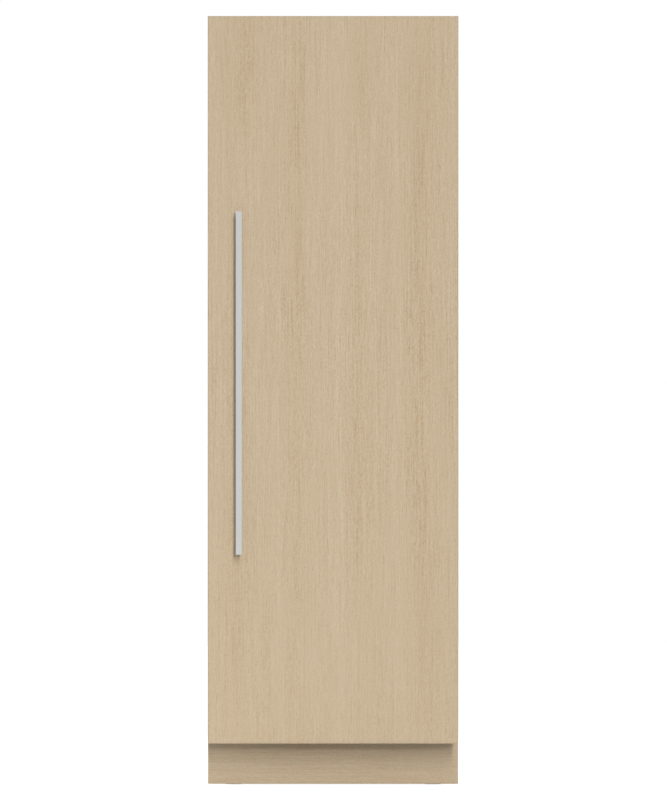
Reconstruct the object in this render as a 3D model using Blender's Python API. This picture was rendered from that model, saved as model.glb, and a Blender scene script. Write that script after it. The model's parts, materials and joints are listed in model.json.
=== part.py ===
"""Built-in column refrigerator with a pale wood door panel, in metres, +Z up.

The origin is on the floor, at the middle of the whole object's width and depth. The front faces -Y and
the door turns on a vertical pin near its right edge, seen from the front.
"""

import math

import bmesh
import bpy

# Clearances and shop allowances
CLEAR = 0.0003              # gap between two pieces that touch
OVERRUN = 0.010             # how far a cutter runs past what it cuts
EMBED = 0.001               # how far a joined rib runs into its wall
EASED = 0.0005              # width of an eased edge

# Wood panel and kick space, which set the front
PANEL_WIDTH = 0.603
PANEL_HEIGHT = 1.750
PANEL_THICKNESS = 0.019
KICK_SPACE = 0.100          # floor to the underside of the door panel
HANDLE_REACH = 0.040        # handle's front face to the panel's face

# Insulated door
DOOR_SIDE_INSET = 0.0045    # door's side in from the panel's edge
DOOR_THICKNESS = 0.0579
PANEL_GAP = 0.0026          # between the wood panel and the steel door, for the brackets
BRACKET_SHEET = 0.0020
GASKET_THICKNESS = 0.0105
HINGE_GAP = 0.006           # door body to the hinge plates
HINGE_PLATE = 0.004
DOOR_SHEET = 0.0012
DOOR_LINER_WALL = 0.0022

# Casing, insulation and cavity
CASE_SIDE_INSET = 0.0065    # casing's side in from the panel's edge
CASE_DEPTH = 0.540
CASE_TOP_DROP = 0.022       # casing top below the panel's top edge
CASE_BOTTOM = 0.040
CASE_SHEET = 0.0015
REAR_SHEET = 0.0018
PAN_SHEET = 0.0015
LINER_WALL = 0.0025
LINER_LIP = 0.0115
SIDE_INSULATION = 0.057     # casing's side to the cavity
REAR_INSULATION = 0.070     # casing's back edge to the cavity
TOP_INSULATION = 0.060
FLOOR_INSULATION = 0.057
RAIL_GAP = 0.008            # underside of the insulated body above the panel's lower edge
MACHINE_DEPTH = 0.185
MACHINE_TOP = 0.240
HUMP_INSULATION = 0.052

# Planes worked out from the sizes above
OVERALL_HEIGHT = KICK_SPACE + PANEL_HEIGHT
OVERALL_DEPTH = (HANDLE_REACH + PANEL_THICKNESS + PANEL_GAP + DOOR_THICKNESS + GASKET_THICKNESS
                 + CASE_DEPTH + CLEAR + REAR_SHEET)
PANEL_HALF = PANEL_WIDTH / 2
DOOR_HALF = PANEL_HALF - DOOR_SIDE_INSET
CASE_HALF = PANEL_HALF - CASE_SIDE_INSET
INNER_HALF = CASE_HALF - CASE_SHEET - CLEAR
CAVITY_HALF = CASE_HALF - SIDE_INSULATION
PANEL_FRONT = HANDLE_REACH - OVERALL_DEPTH / 2
PANEL_BACK = PANEL_FRONT + PANEL_THICKNESS
SKIN_FRONT = PANEL_BACK + PANEL_GAP
DOOR_BACK = SKIN_FRONT + DOOR_THICKNESS
CASE_FRONT = DOOR_BACK + GASKET_THICKNESS
CASE_BACK = CASE_FRONT + CASE_DEPTH
CAVITY_BACK = CASE_BACK - REAR_INSULATION
CASE_TOP = OVERALL_HEIGHT - CASE_TOP_DROP
RAIL_BOTTOM = KICK_SPACE + RAIL_GAP
CAVITY_BOTTOM = RAIL_BOTTOM + FLOOR_INSULATION
CAVITY_TOP = CASE_TOP - TOP_INSULATION
DOOR_TOP = CASE_TOP - HINGE_GAP
DOOR_BOTTOM = RAIL_BOTTOM + HINGE_GAP
MACHINE_FRONT = CASE_BACK - MACHINE_DEPTH
HUMP_TOP = MACHINE_TOP + PAN_SHEET + HUMP_INSULATION + LINER_WALL
HUMP_FRONT = MACHINE_FRONT - PAN_SHEET - HUMP_INSULATION
OPENING_HALF = CAVITY_HALF + LINER_LIP + CLEAR
OPENING_BOTTOM = CAVITY_BOTTOM - LINER_LIP - CLEAR
OPENING_TOP = CAVITY_TOP + LINER_LIP + CLEAR

# Hinge pins, plates and bushes
PIN_INSET = 0.0165          # pin axis in from the panel's right edge
PIN_DEPTH = 0.032           # pin axis behind the panel's face
PIN_RADIUS = 0.005
PIN_X = PANEL_HALF - PIN_INSET
PIN_Y = PANEL_FRONT + PIN_DEPTH
PLATE_NOSE = 0.011
PLATE_NECK = 0.004          # neck's right edge beyond the pin axis
PLATE_NECK_SHARE = 1.5      # where the neck meets the nose, as a share of the nose's radius
PLATE_BACK = 0.090          # plate behind the casing's front
PLATE_WIDTH = 0.080         # plate's left edge in from the casing's side
PLATE_EDGE = 0.006
BUSH_RADIUS = 0.008
BUSH_FLANGE = 0.010
BUSH_FLANGE_HEIGHT = HINGE_GAP - CLEAR
BUSH_LENGTH = 0.022
BUSH_POCKET = 0.024

# Bracket that holds the cabinet against tipping
TIP_WIDTH = 0.140
TIP_LENGTH = 0.070
TIP_SHEET = 0.003
TIP_HOLE_RADIUS = 0.004
TIP_HOLE_SPACING = 0.100

# Shelves and the liner's ledges
STORAGE_SETBACK = 0.102     # shelf fronts behind the casing's front
DUCT_DEPTH = 0.045
SHELF_BACK_GAP = 0.004
STORAGE_FRONT = CASE_FRONT + STORAGE_SETBACK
STORAGE_BACK = CAVITY_BACK - DUCT_DEPTH - SHELF_BACK_GAP
SHELF_COUNT = 4
COVER_RISE = 0.360          # crisper cover's ledges above the cavity's floor
FIRST_SHELF_RISE = 0.245    # first shelf above the crisper cover
TOP_SHELF_DROP = 0.293      # top shelf below the cavity's ceiling
COVER_LEVEL = CAVITY_BOTTOM + COVER_RISE
FIRST_SHELF = COVER_LEVEL + FIRST_SHELF_RISE
SHELF_PITCH = (CAVITY_TOP - TOP_SHELF_DROP - FIRST_SHELF) / (SHELF_COUNT - 1)
LEDGE_HEIGHT = 0.006
LEDGE_FRONT = STORAGE_FRONT + 2 * EMBED
SHELF_LEDGE = 0.008
SHELF_SIDE_GAP = 0.0025
SHELF_HALF = CAVITY_HALF - SHELF_SIDE_GAP
FRAME_RAIL = 0.016
FRAME_HEIGHT = 0.011
FRONT_TRIM = 0.018          # height of the front rail
FRONT_TRIM_DEPTH = 0.010
GLASS_THICKNESS = 0.004
GLASS_SEAT = 0.005          # glass edge carried on the frame

# Crisper drawers
DRAWER_NAMES = ("lower", "upper")
DRAWER_LEDGE = 0.021
DRAWER_LEDGE_DROPS = (0.203, 0.031)    # ledge tops below the crisper cover's
DRAWER_DROPS = (0.148, 0.144)          # tub bottoms below their ledges
DRAWER_BACK_GAP = 0.006
DRAWER_SIDE_GAP = 0.0045    # tub's side to the ledge's edge
DRAWER_RIM_GAP = 0.017      # tub's rim to the liner's wall
DRAWER_WALL = 0.0028
DRAWER_RIM_HEIGHT = 0.005
DRAWER_ABOVE_RIM = 0.012
DRAWER_FRONT = 0.012
DRAWER_PULL = 0.022
DRAWER_HALF = CAVITY_HALF - DRAWER_LEDGE - DRAWER_SIDE_GAP
DRAWER_RIM_HALF = CAVITY_HALF - DRAWER_RIM_GAP
DRAWER_RIMS = tuple(COVER_LEVEL - drop for drop in DRAWER_LEDGE_DROPS)
DRAWER_BACKS = (HUMP_FRONT - DRAWER_BACK_GAP, STORAGE_BACK - DRAWER_BACK_GAP)

# Kick board and air grille
KICK_SETBACK = 0.104
KICK_THICKNESS = 0.016
KICK_FLOOR_GAP = 0.0015
KICK_TOP_LAP = 0.0025       # kick board's top edge above the panel's lower edge
KICK_FRONT = PANEL_FRONT + KICK_SETBACK
KICK_BACK = KICK_FRONT + KICK_THICKNESS
GRILLE_DEPTH = 0.0134
GRILLE_FRONT = KICK_BACK + CLEAR
GRILLE_BACK = GRILLE_FRONT + GRILLE_DEPTH
GRILLE_SIDE_GAP = 0.011     # grille's end in from the casing's side
GRILLE_BOTTOM = 0.030
GRILLE_HALF = CASE_HALF - GRILLE_SIDE_GAP
GRILLE_SLOTS = 15
GRILLE_SLOT_WIDTH = 0.024
GRILLE_SLOT_PITCH = 0.036
GRILLE_RIM = 0.006

# Base tray, feet and rollers
TRAY_FRONT = GRILLE_BACK + CLEAR
BASE_BOTTOM = 0.026
BASE_HEIGHT = 0.034
BASE_SHEET = 0.002
BASE_FLOOR = BASE_BOTTOM + BASE_SHEET
SUPPORT_INSET = 0.055       # feet and rollers in from the casing's side
SUPPORT_X = CASE_HALF - SUPPORT_INSET
FOOT_SETBACK = 0.022        # foot's axis behind the tray's front
FOOT_PAD_RADIUS = 0.020
FOOT_PAD_HEIGHT = 0.010
FOOT_STUD_RADIUS = 0.005
FOOT_STUD_ABOVE = 0.047     # stud's end above the tray's floor
FOOT_BOSS_RADIUS = 0.011
FOOT_BOSS_HEIGHT = 0.014
FOOT_Y = TRAY_FRONT + FOOT_SETBACK
ROLLER_RADIUS = 0.020
ROLLER_WIDTH = 0.016
ROLLER_AXLE_RADIUS = 0.004
ROLLER_FROM_BACK = 0.075
ROLLER_EAR = 0.003
ROLLER_EAR_LENGTH = 0.026
ROLLER_SIDE_GAP = 0.001
ROLLER_Y = CASE_BACK - ROLLER_FROM_BACK

# Compressor and drip tray
MOUNT_RADIUS = 0.012
MOUNT_HEIGHT = 0.012
COMPRESSOR_SIDE = 0.145     # compressor's axis in from the casing's side
COMPRESSOR_FROM_BACK = 0.095
COMPRESSOR_RADIUS = 0.070
COMPRESSOR_HEIGHT = 0.150
COMPRESSOR_FOOT_X = 0.062
COMPRESSOR_FOOT_Y = 0.058
COMPRESSOR_PLATE = 0.003
COMPRESSOR_X = CASE_HALF - COMPRESSOR_SIDE
COMPRESSOR_Y = CASE_BACK - COMPRESSOR_FROM_BACK
COMPRESSOR_BASE = BASE_FLOOR + MOUNT_HEIGHT + CLEAR
SHELL_SHARES = (            # radius and height of the shell's outline, as shares of its sizes
    (0.70, 0.0), (0.88, 0.06), (0.97, 0.17), (1.0, 0.41), (1.05, 0.44), (1.05, 0.49),
    (1.0, 0.52), (0.95, 0.78), (0.80, 0.92), (0.50, 0.985), (0.20, 1.0),
)
TERMINAL_BOX = 0.030
TERMINAL_HEIGHT_SHARE = 0.45
DRIP_TRAY_X = 0.180
DRIP_TRAY_Y = 0.130
DRIP_TRAY_HEIGHT = 0.020
DRIP_TRAY_WALL = 0.002

# Condenser and its fan
FIN_THICKNESS = 0.002
CORE_SHARE = 0.3            # width of a finned coil's core
CONDENSER_SIDE = 0.023      # condenser's left end in from the casing's side
CONDENSER_LENGTH = 0.167
CONDENSER_FROM_BACK = 0.030
CONDENSER_DEPTH = 0.130
CONDENSER_HEIGHT = 0.168
CONDENSER_FINS = 13
REST_INSET = 0.010          # rest's middle in from the condenser's end
REST_WIDTH = 0.010
REST_HEIGHT = 0.018
CONDENSER_X = (CONDENSER_SIDE - CASE_HALF, CONDENSER_SIDE - CASE_HALF + CONDENSER_LENGTH)
CONDENSER_Y = (CASE_BACK - CONDENSER_FROM_BACK - CONDENSER_DEPTH, CASE_BACK - CONDENSER_FROM_BACK)
FAN_GAP = 0.035             # fan frame beyond the condenser's right end
FAN_FROM_BACK = 0.092
FAN_HEIGHT = 0.097          # fan axis above the tray's floor
FAN_OPENING = 0.062
FAN_BLADE_RADIUS = 0.056
FAN_HUB_RADIUS = 0.016
FAN_DEPTH = 0.020
FAN_X = CONDENSER_X[1] + FAN_GAP
FAN_Y = CASE_BACK - FAN_FROM_BACK
FAN_Z = BASE_FLOOR + FAN_HEIGHT
SHROUD_SHEET = 0.003
SHROUD_HALF_Y = 0.078
SHROUD_HEIGHT = 0.187
MOTOR_RADIUS = 0.022
MOTOR_LENGTH = 0.026
SPOKE_WIDTH = 0.008
SPINDLE_RADIUS = 0.003
ROTOR_GAP = 0.003           # fan frame to the rotor
BLADE_COUNT = 5
BLADE_THICKNESS = 0.002
BLADE_PITCH = 32            # degrees

# Rear cover and mains inlet
COVER_SLOTS = 14
COVER_SLOT_WIDTH = 0.006
COVER_SLOT_HEIGHT = 0.060
COVER_SLOT_PITCH = 0.018
COVER_ROWS = (0.045, 0.135)    # middles of the slot rows above the casing's lower edge
COVER_SLOT_X = 0.020
INLET_SIDE = 0.080          # inlet's middle in from the casing's side
INLET_RISE = 0.055          # inlet's middle above the casing's lower edge
INLET_WIDTH = 0.048
INLET_HEIGHT = 0.028
INLET_DEPTH = 0.024
INLET_WALL = 0.002
INLET_FLANGE = 0.004
INLET_X = INLET_SIDE - CASE_HALF
INLET_Z = CASE_BOTTOM + INLET_RISE

# Air duct, evaporator and air fan
DUCT_SIDE_GAP = 0.068       # duct's side to the cavity's wall
DUCT_FLOOR_GAP = 0.008
DUCT_TOP_GAP = 0.043
DUCT_WALL = 0.0025
DUCT_HALF = CAVITY_HALF - DUCT_SIDE_GAP
DUCT_BOTTOM = HUMP_TOP + DUCT_FLOOR_GAP
DUCT_TOP = CAVITY_TOP - DUCT_TOP_GAP
VENT_WIDTH = 0.070
VENT_HEIGHT = 0.008
VENT_X = 0.095
VENT_DROP = 0.030           # below each shelf
RETURN_SLOTS = 9
RETURN_SLOT_WIDTH = 0.012
RETURN_SLOT_PITCH = 0.030
RETURN_SLOT_HEIGHT = 0.050
EVAPORATOR_SIDE_GAP = 0.020
EVAPORATOR_RISE = 0.031     # evaporator above the duct's lower end
EVAPORATOR_HEIGHT = 0.160
EVAPORATOR_DEPTH = 0.032
EVAPORATOR_FINS = 15
EVAPORATOR_HALF = DUCT_HALF - EVAPORATOR_SIDE_GAP
EVAPORATOR_BOTTOM = DUCT_BOTTOM + EVAPORATOR_RISE
AIR_FAN_RISE = 0.145        # fan axis above the evaporator
AIR_FAN_RADIUS = 0.046
AIR_FAN_HUB = 0.013
AIR_FAN_DEPTH = 0.016
AIR_ROTOR_GAP = 0.002
AIR_FAN_Z = EVAPORATOR_BOTTOM + EVAPORATOR_HEIGHT + AIR_FAN_RISE
AIR_MOTOR_RADIUS = 0.018
AIR_MOTOR_LENGTH = 0.014

# Ceiling console
CONTROL_SIDE_GAP = 0.0015
CONTROL_SETBACK = 0.014
CONTROL_DEPTH = 0.096
CONTROL_HEIGHT = 0.030
CONTROL_WALL = 0.0025
CONTROL_HALF = CAVITY_HALF - CONTROL_SIDE_GAP
CONTROL_FRONT = CASE_FRONT + CONTROL_SETBACK
CONTROL_BOTTOM = CAVITY_TOP - CLEAR - CONTROL_HEIGHT
BUTTON_NAMES = ("colder", "warmer", "power")
BUTTON_RADIUS = 0.007
BUTTON_PROUD = 0.002
BUTTON_LENGTH = 0.009
BUTTON_FLANGE = 0.0015
BUTTON_PITCH = 0.034
BUTTON_X = 0.120            # middle button to the right of the middle
LIGHT_HALF = 0.150
LIGHT_DEPTH = 0.040
LIGHT_FLANGE = 0.003
LIGHT_PLATE = 0.002         # cover's flange above the console's floor

# Door liner, seal and bins
DIKE_SIDE_GAP = 0.012       # dike to the cavity's wall, with the door shut
DIKE_WIDTH = 0.018
DIKE_DEPTH = 0.055
DIKE_BOTTOM_GAP = 0.030     # dike above the cavity's floor
DIKE_TOP_GAP = 0.053
DIKE_OUTER = CAVITY_HALF - DIKE_SIDE_GAP
DIKE_BOTTOM = CAVITY_BOTTOM + DIKE_BOTTOM_GAP
DIKE_TOP = CAVITY_TOP - DIKE_TOP_GAP
LUG_REACH = 0.006
LUG_LENGTH = 0.035
LUG_HEIGHT = 0.012
LUG_START = 0.012           # lug behind the liner's plate
GASKET_INSET = 0.016
GASKET_WIDTH = 0.022
GASKET_BOTTOM_INSET = 0.012
BIN_COUNT = 4
BIN_RISE = 0.040            # first bin above the dikes' lower end
TOP_BIN_DROP = 0.295        # top bin's floor below the dikes' upper end
FIRST_BIN = DIKE_BOTTOM + BIN_RISE
BIN_PITCH = (DIKE_TOP - TOP_BIN_DROP - FIRST_BIN) / (BIN_COUNT - 1)
BIN_SIDE_GAP = 0.008        # bin's side to the dike
BIN_DEPTH = 0.092
BIN_HEIGHT = 0.105
BIN_WALL = 0.0026
BIN_BACK_GAP = 0.001
BIN_EAR_GAP = 0.0008        # ear's end to the dike
BIN_EAR_LENGTH = 0.050
BIN_EAR_HEIGHT = 0.010
BIN_EAR_DROP = 0.045        # ear's underside below the bin's rim
BIN_HALF = DIKE_OUTER - DIKE_WIDTH - BIN_SIDE_GAP
EAR_HALF = DIKE_OUTER - DIKE_WIDTH - BIN_EAR_GAP

# Handle and the brackets of the wood panel
HANDLE_WIDTH = 0.0145
HANDLE_BAR_DEPTH = 0.014
HANDLE_RISE = 0.4545        # handle's lower end above the panel's lower edge
HANDLE_LENGTH = 0.826
HANDLE_INSET = 0.0751       # handle's middle from the panel's left edge
POST_SIZE = 0.011
POST_INSET = 0.070
HANDLE_X = HANDLE_INSET - PANEL_HALF
HANDLE_BOTTOM = KICK_SPACE + HANDLE_RISE
BRACKET_SIDE_GAP = 0.057    # bracket's end in from the door's side
BRACKET_HALF = DOOR_HALF - BRACKET_SIDE_GAP
BRACKET_LEG = 0.036
HANGER_UPSTAND = 0.018
BRACKET_UPSTAND = 0.006

# Colours, as linear values
COLOURS = {
    "wood_veneer": ((0.584, 0.462, 0.314), 0.55, 0.0, 1.0),
    "handle_metal": ((0.584, 0.584, 0.578), 0.35, 0.9, 1.0),
    "case_paint": ((0.42, 0.43, 0.44), 0.45, 0.3, 1.0),
    "zinc_steel": ((0.55, 0.56, 0.57), 0.45, 0.9, 1.0),
    "liner_plastic": ((0.86, 0.87, 0.88), 0.35, 0.0, 1.0),
    "duct_steel": ((0.60, 0.60, 0.60), 0.35, 0.9, 1.0),
    "trim_metal": ((0.62, 0.62, 0.63), 0.3, 0.9, 1.0),
    "clear_plastic": ((0.85, 0.90, 0.92), 0.1, 0.0, 0.35),
    "shelf_glass": ((0.80, 0.90, 0.88), 0.05, 0.0, 0.35),
    "gasket_rubber": ((0.35, 0.35, 0.36), 0.7, 0.0, 1.0),
    "black_plastic": ((0.02, 0.02, 0.02), 0.5, 0.0, 1.0),
    "black_steel": ((0.015, 0.015, 0.016), 0.4, 0.2, 1.0),
    "fin_aluminium": ((0.65, 0.65, 0.66), 0.35, 0.9, 1.0),
    "foam": ((0.80, 0.72, 0.45), 0.9, 0.0, 1.0),
    "light_cover": ((0.95, 0.95, 0.92), 0.3, 0.0, 1.0),
    "grey_plastic": ((0.45, 0.46, 0.47), 0.45, 0.0, 1.0),
}


def clear_scene():
    for obj in list(bpy.data.objects):
        bpy.data.objects.remove(obj)


def finish_of(slot):
    """The slot's material, made once."""
    made = bpy.data.materials.get(slot)
    if made:
        return made
    colour, roughness, metallic, alpha = COLOURS[slot]
    made = bpy.data.materials.new(slot)
    made.use_nodes = True
    shader = made.node_tree.nodes["Principled BSDF"]
    shader.inputs["Base Color"].default_value = (*colour, 1)
    shader.inputs["Roughness"].default_value = roughness
    shader.inputs["Metallic"].default_value = metallic
    shader.inputs["Alpha"].default_value = alpha
    return made


def add_mesh(name, bm, slot):
    """An object from bm, with its normals outwards. A helper has no slot."""
    bmesh.ops.recalc_face_normals(bm, faces=bm.faces)
    mesh = bpy.data.meshes.new(name)
    bm.to_mesh(mesh)
    bm.free()
    obj = bpy.data.objects.new(name, mesh)
    bpy.context.scene.collection.objects.link(obj)
    if slot:
        mesh.materials.append(finish_of(slot))
    return obj


def add_box(bm, x, y, z):
    """A box between the low and high ends given for each axis."""
    corners = [bm.verts.new((x[i], y[j], z[k])) for i in (0, 1) for j in (0, 1) for k in (0, 1)]
    for face in ((0, 1, 3, 2), (4, 6, 7, 5), (0, 4, 5, 1), (2, 3, 7, 6), (0, 2, 6, 4), (1, 5, 7, 3)):
        bm.faces.new([corners[i] for i in face])


def block(name, x, y, z, slot=None):
    bm = bmesh.new()
    add_box(bm, x, y, z)
    return add_mesh(name, bm, slot)


def blocks(name, boxes, slot=None):
    """Several boxes that stand clear of each other, in one mesh."""
    bm = bmesh.new()
    for x, y, z in boxes:
        add_box(bm, x, y, z)
    return add_mesh(name, bm, slot)


def prism(name, outline, span, axis, slot=None):
    """An outline of two coordinates, in X, Y, Z order without the axis, extruded over span."""
    place = {
        "X": lambda a, b, t: (t, a, b),
        "Y": lambda a, b, t: (a, t, b),
        "Z": lambda a, b, t: (a, b, t),
    }[axis]
    bm = bmesh.new()
    first = bm.faces.new([bm.verts.new(place(a, b, span[0])) for a, b in outline])
    made = bmesh.ops.extrude_face_region(bm, geom=[first])
    shift = [e - s for s, e in zip(place(0, 0, span[0]), place(0, 0, span[1]))]
    moved = [v for v in made["geom"] if isinstance(v, bmesh.types.BMVert)]
    bmesh.ops.translate(bm, verts=moved, vec=shift)
    return add_mesh(name, bm, slot)


def arc(centre, radius, start, end, steps):
    """Points on a circle, angles in degrees."""
    return [
        (
            centre[0] + radius * math.cos(math.radians(start + (end - start) * i / steps)),
            centre[1] + radius * math.sin(math.radians(start + (end - start) * i / steps)),
        )
        for i in range(steps + 1)
    ]


def round_bar(name, centre, radius, span, axis, slot=None, sides=24):
    """A cylinder along axis over span, centred on the two other coordinates."""
    return prism(name, arc(centre, radius, 0, 360 - 360 / sides, sides - 1), span, axis, slot)


def turned(name, profile, centre, axis, slot=None, sides=24):
    """A profile of (radius, place along the axis), closed on the axis, turned round it."""
    bm = bmesh.new()
    rings = []
    for radius, along in profile:
        ring = []
        for a, b in arc(centre, radius, 0, 360 - 360 / sides, sides - 1):
            ring.append(bm.verts.new({"X": (along, a, b), "Y": (a, along, b), "Z": (a, b, along)}[axis]))
        rings.append(ring)
    for low, high in zip(rings, rings[1:]):
        for i in range(sides):
            j = (i + 1) % sides
            bm.faces.new((low[i], low[j], high[j], high[i]))
    bm.faces.new(rings[0])
    bm.faces.new(rings[-1])
    return add_mesh(name, bm, slot)


def combine(target, helper, operation):
    """A Boolean modifier on target, with the helper hidden from renders."""
    helper.hide_render = True
    helper.display_type = "WIRE"
    modifier = target.modifiers.new(operation.lower() + "_" + helper.name, "BOOLEAN")
    modifier.operation = operation
    modifier.object = helper


def cut(target, *helpers):
    for helper in helpers:
        combine(target, helper, "DIFFERENCE")


def join(target, *helpers):
    for helper in helpers:
        combine(target, helper, "UNION")


def ease_edges(obj, width, segments=1):
    """A small bevel on the sharp edges."""
    modifier = obj.modifiers.new("eased_edges", "BEVEL")
    modifier.width = width
    modifier.segments = segments
    modifier.limit_method = "ANGLE"


def both(half):
    return (-half, half)


def around(middle, width):
    return (middle - width / 2, middle + width / 2)


def shade_round(obj):
    obj.data.shade_smooth()
    obj.data.set_sharp_from_angle(angle=math.radians(35))


def casing():
    """Steel wrap of two sides and a top, with a front flange and a notch for the kick board."""
    shell = block("casing_shell", both(CASE_HALF), (CASE_FRONT, CASE_BACK), (CASE_BOTTOM, CASE_TOP),
                  "case_paint")
    face = (CASE_FRONT - OVERRUN, CASE_FRONT + CASE_SHEET + OVERRUN)
    cut(
        shell,
        block("casing_inside", both(CASE_HALF - CASE_SHEET), (CASE_FRONT + CASE_SHEET, CASE_BACK + OVERRUN),
              (CASE_BOTTOM - OVERRUN, CASE_TOP - CASE_SHEET)),
        block("casing_door_opening", both(OPENING_HALF), face, (OPENING_BOTTOM, OPENING_TOP)),
        block("casing_kick_notch", both(CASE_HALF + OVERRUN), (CASE_FRONT - OVERRUN, TRAY_FRONT),
              (CASE_BOTTOM - OVERRUN, RAIL_BOTTOM)),
    )


def rear_sheets():
    """The back sheet, and the folded pan that closes the insulation over the machine space."""
    block("rear_panel", both(CASE_HALF), (CASE_BACK + CLEAR, CASE_BACK + CLEAR + REAR_SHEET),
          (MACHINE_TOP, CASE_TOP), "zinc_steel")
    front = CASE_FRONT + CASE_SHEET + CLEAR
    prism(
        "bottom_pan",
        [
            (front, RAIL_BOTTOM),
            (MACHINE_FRONT, RAIL_BOTTOM),
            (MACHINE_FRONT, MACHINE_TOP),
            (CASE_BACK, MACHINE_TOP),
            (CASE_BACK, MACHINE_TOP + PAN_SHEET),
            (MACHINE_FRONT - PAN_SHEET, MACHINE_TOP + PAN_SHEET),
            (MACHINE_FRONT - PAN_SHEET, RAIL_BOTTOM + PAN_SHEET),
            (front, RAIL_BOTTOM + PAN_SHEET),
        ],
        both(INNER_HALF),
        "X",
        "zinc_steel",
    )


def stepped_outline(grow, front):
    """Side outline of the cavity with its step over the machine space, grown outwards."""
    return [
        (front, CAVITY_BOTTOM - grow),
        (HUMP_FRONT + grow, CAVITY_BOTTOM - grow),
        (HUMP_FRONT + grow, HUMP_TOP - grow),
        (CAVITY_BACK + grow, HUMP_TOP - grow),
        (CAVITY_BACK + grow, CAVITY_TOP + grow),
        (front, CAVITY_TOP + grow),
    ]


def shelf_levels():
    """Top faces of the shelf ledges, the crisper cover's first."""
    return [COVER_LEVEL] + [FIRST_SHELF + i * SHELF_PITCH for i in range(SHELF_COUNT)]


def liner():
    """Moulded inner box with its front lip and its ledges for shelves and drawers."""
    body = prism("inner_liner", stepped_outline(LINER_WALL, CASE_FRONT), both(CAVITY_HALF + LINER_WALL), "X",
                 "liner_plastic")
    join(body, block("liner_lip", both(CAVITY_HALF + LINER_LIP), (CASE_FRONT, CASE_FRONT + LINER_WALL),
                     (CAVITY_BOTTOM - LINER_LIP, CAVITY_TOP + LINER_LIP)))
    cut(body, prism("liner_cavity", stepped_outline(0, CASE_FRONT - OVERRUN), both(CAVITY_HALF), "X"))
    ledges = []
    for side in (-1, 1):
        wall = side * (CAVITY_HALF + EMBED)
        for top in shelf_levels():
            ledges.append((sorted((wall, side * (CAVITY_HALF - SHELF_LEDGE))),
                           (LEDGE_FRONT, STORAGE_BACK), (top - LEDGE_HEIGHT, top)))
        for top, back in zip(DRAWER_RIMS, DRAWER_BACKS):
            ledges.append((sorted((wall, side * (CAVITY_HALF - DRAWER_LEDGE))),
                           (LEDGE_FRONT + DRAWER_FRONT, back), (top - LEDGE_HEIGHT, top)))
    join(body, blocks("liner_ledges", ledges))


def insulation():
    """Rigid foam between the casing and the liner, open at the front for the cavity."""
    front = CASE_FRONT + CASE_SHEET + CLEAR
    floor = RAIL_BOTTOM + PAN_SHEET + CLEAR
    roof = MACHINE_TOP + PAN_SHEET + CLEAR
    bulkhead = MACHINE_FRONT - PAN_SHEET - CLEAR
    top = CASE_TOP - CASE_SHEET - CLEAR
    foam = prism(
        "cabinet_foam",
        [(front, floor), (bulkhead, floor), (bulkhead, roof), (CASE_BACK, roof), (CASE_BACK, top),
         (front, top)],
        both(INNER_HALF),
        "X",
        "foam",
    )
    cut(
        foam,
        prism("foam_cavity", stepped_outline(LINER_WALL + CLEAR, CASE_FRONT - OVERRUN),
              both(CAVITY_HALF + LINER_WALL + CLEAR), "X"),
        block("foam_lip_space", both(OPENING_HALF), (CASE_FRONT - OVERRUN, CASE_FRONT + LINER_WALL + CLEAR),
              (OPENING_BOTTOM, OPENING_TOP)),
    )


def base():
    """Steel tray with threaded bosses for the feet, ears for the rollers and compressor mounts."""
    tray = block("base_frame", both(INNER_HALF), (TRAY_FRONT, CASE_BACK),
                 (BASE_BOTTOM, BASE_BOTTOM + BASE_HEIGHT), "zinc_steel")
    cut(tray, block("base_inside", both(INNER_HALF - BASE_SHEET),
                    (TRAY_FRONT + BASE_SHEET, CASE_BACK - BASE_SHEET),
                    (BASE_FLOOR, BASE_BOTTOM + BASE_HEIGHT + OVERRUN)))
    ear_top = BASE_FLOOR + 2 * EMBED
    gap = ROLLER_WIDTH / 2 + ROLLER_SIDE_GAP
    for side, label in ((-1, "left"), (1, "right")):
        x = side * SUPPORT_X
        join(tray, round_bar(f"foot_boss_{label}", (x, FOOT_Y), FOOT_BOSS_RADIUS,
                             (BASE_FLOOR - EMBED, BASE_FLOOR + FOOT_BOSS_HEIGHT), "Z", sides=16))
        cut(tray, round_bar(f"foot_thread_{label}", (x, FOOT_Y), FOOT_STUD_RADIUS + CLEAR,
                            (BASE_BOTTOM - OVERRUN, BASE_FLOOR + FOOT_BOSS_HEIGHT + OVERRUN), "Z", sides=16))
        slot_half = ROLLER_RADIUS + ROLLER_SIDE_GAP
        cut(tray, block(f"roller_slot_{label}", around(x, 2 * gap), around(ROLLER_Y, 2 * slot_half),
                        (BASE_BOTTOM - OVERRUN, BASE_FLOOR + EMBED)))
        for end in (-1, 1):
            face = x + end * gap
            join(tray, block(f"roller_ear_{label}_{end}", sorted((face, face + end * ROLLER_EAR)),
                             around(ROLLER_Y, ROLLER_EAR_LENGTH),
                             (ROLLER_RADIUS - 2 * ROLLER_AXLE_RADIUS, ear_top)))
        reach = gap + ROLLER_EAR + OVERRUN
        cut(tray, round_bar(f"axle_hole_{label}", (ROLLER_Y, ROLLER_RADIUS), ROLLER_AXLE_RADIUS + CLEAR,
                            (x - reach, x + reach), "X", sides=16))
    for i, (x, y) in enumerate(compressor_feet()):
        join(tray, round_bar(f"mount_boss_{i}", (x, y), MOUNT_RADIUS,
                             (BASE_FLOOR - EMBED, BASE_FLOOR + MOUNT_HEIGHT), "Z", sides=16))
    rest_z = (BASE_FLOOR - EMBED, BASE_FLOOR + REST_HEIGHT)
    rests = [(around(x, REST_WIDTH), CONDENSER_Y, rest_z)
             for x in (CONDENSER_X[0] + REST_INSET, CONDENSER_X[1] - REST_INSET)]
    join(tray, blocks("condenser_rests", rests))


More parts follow.
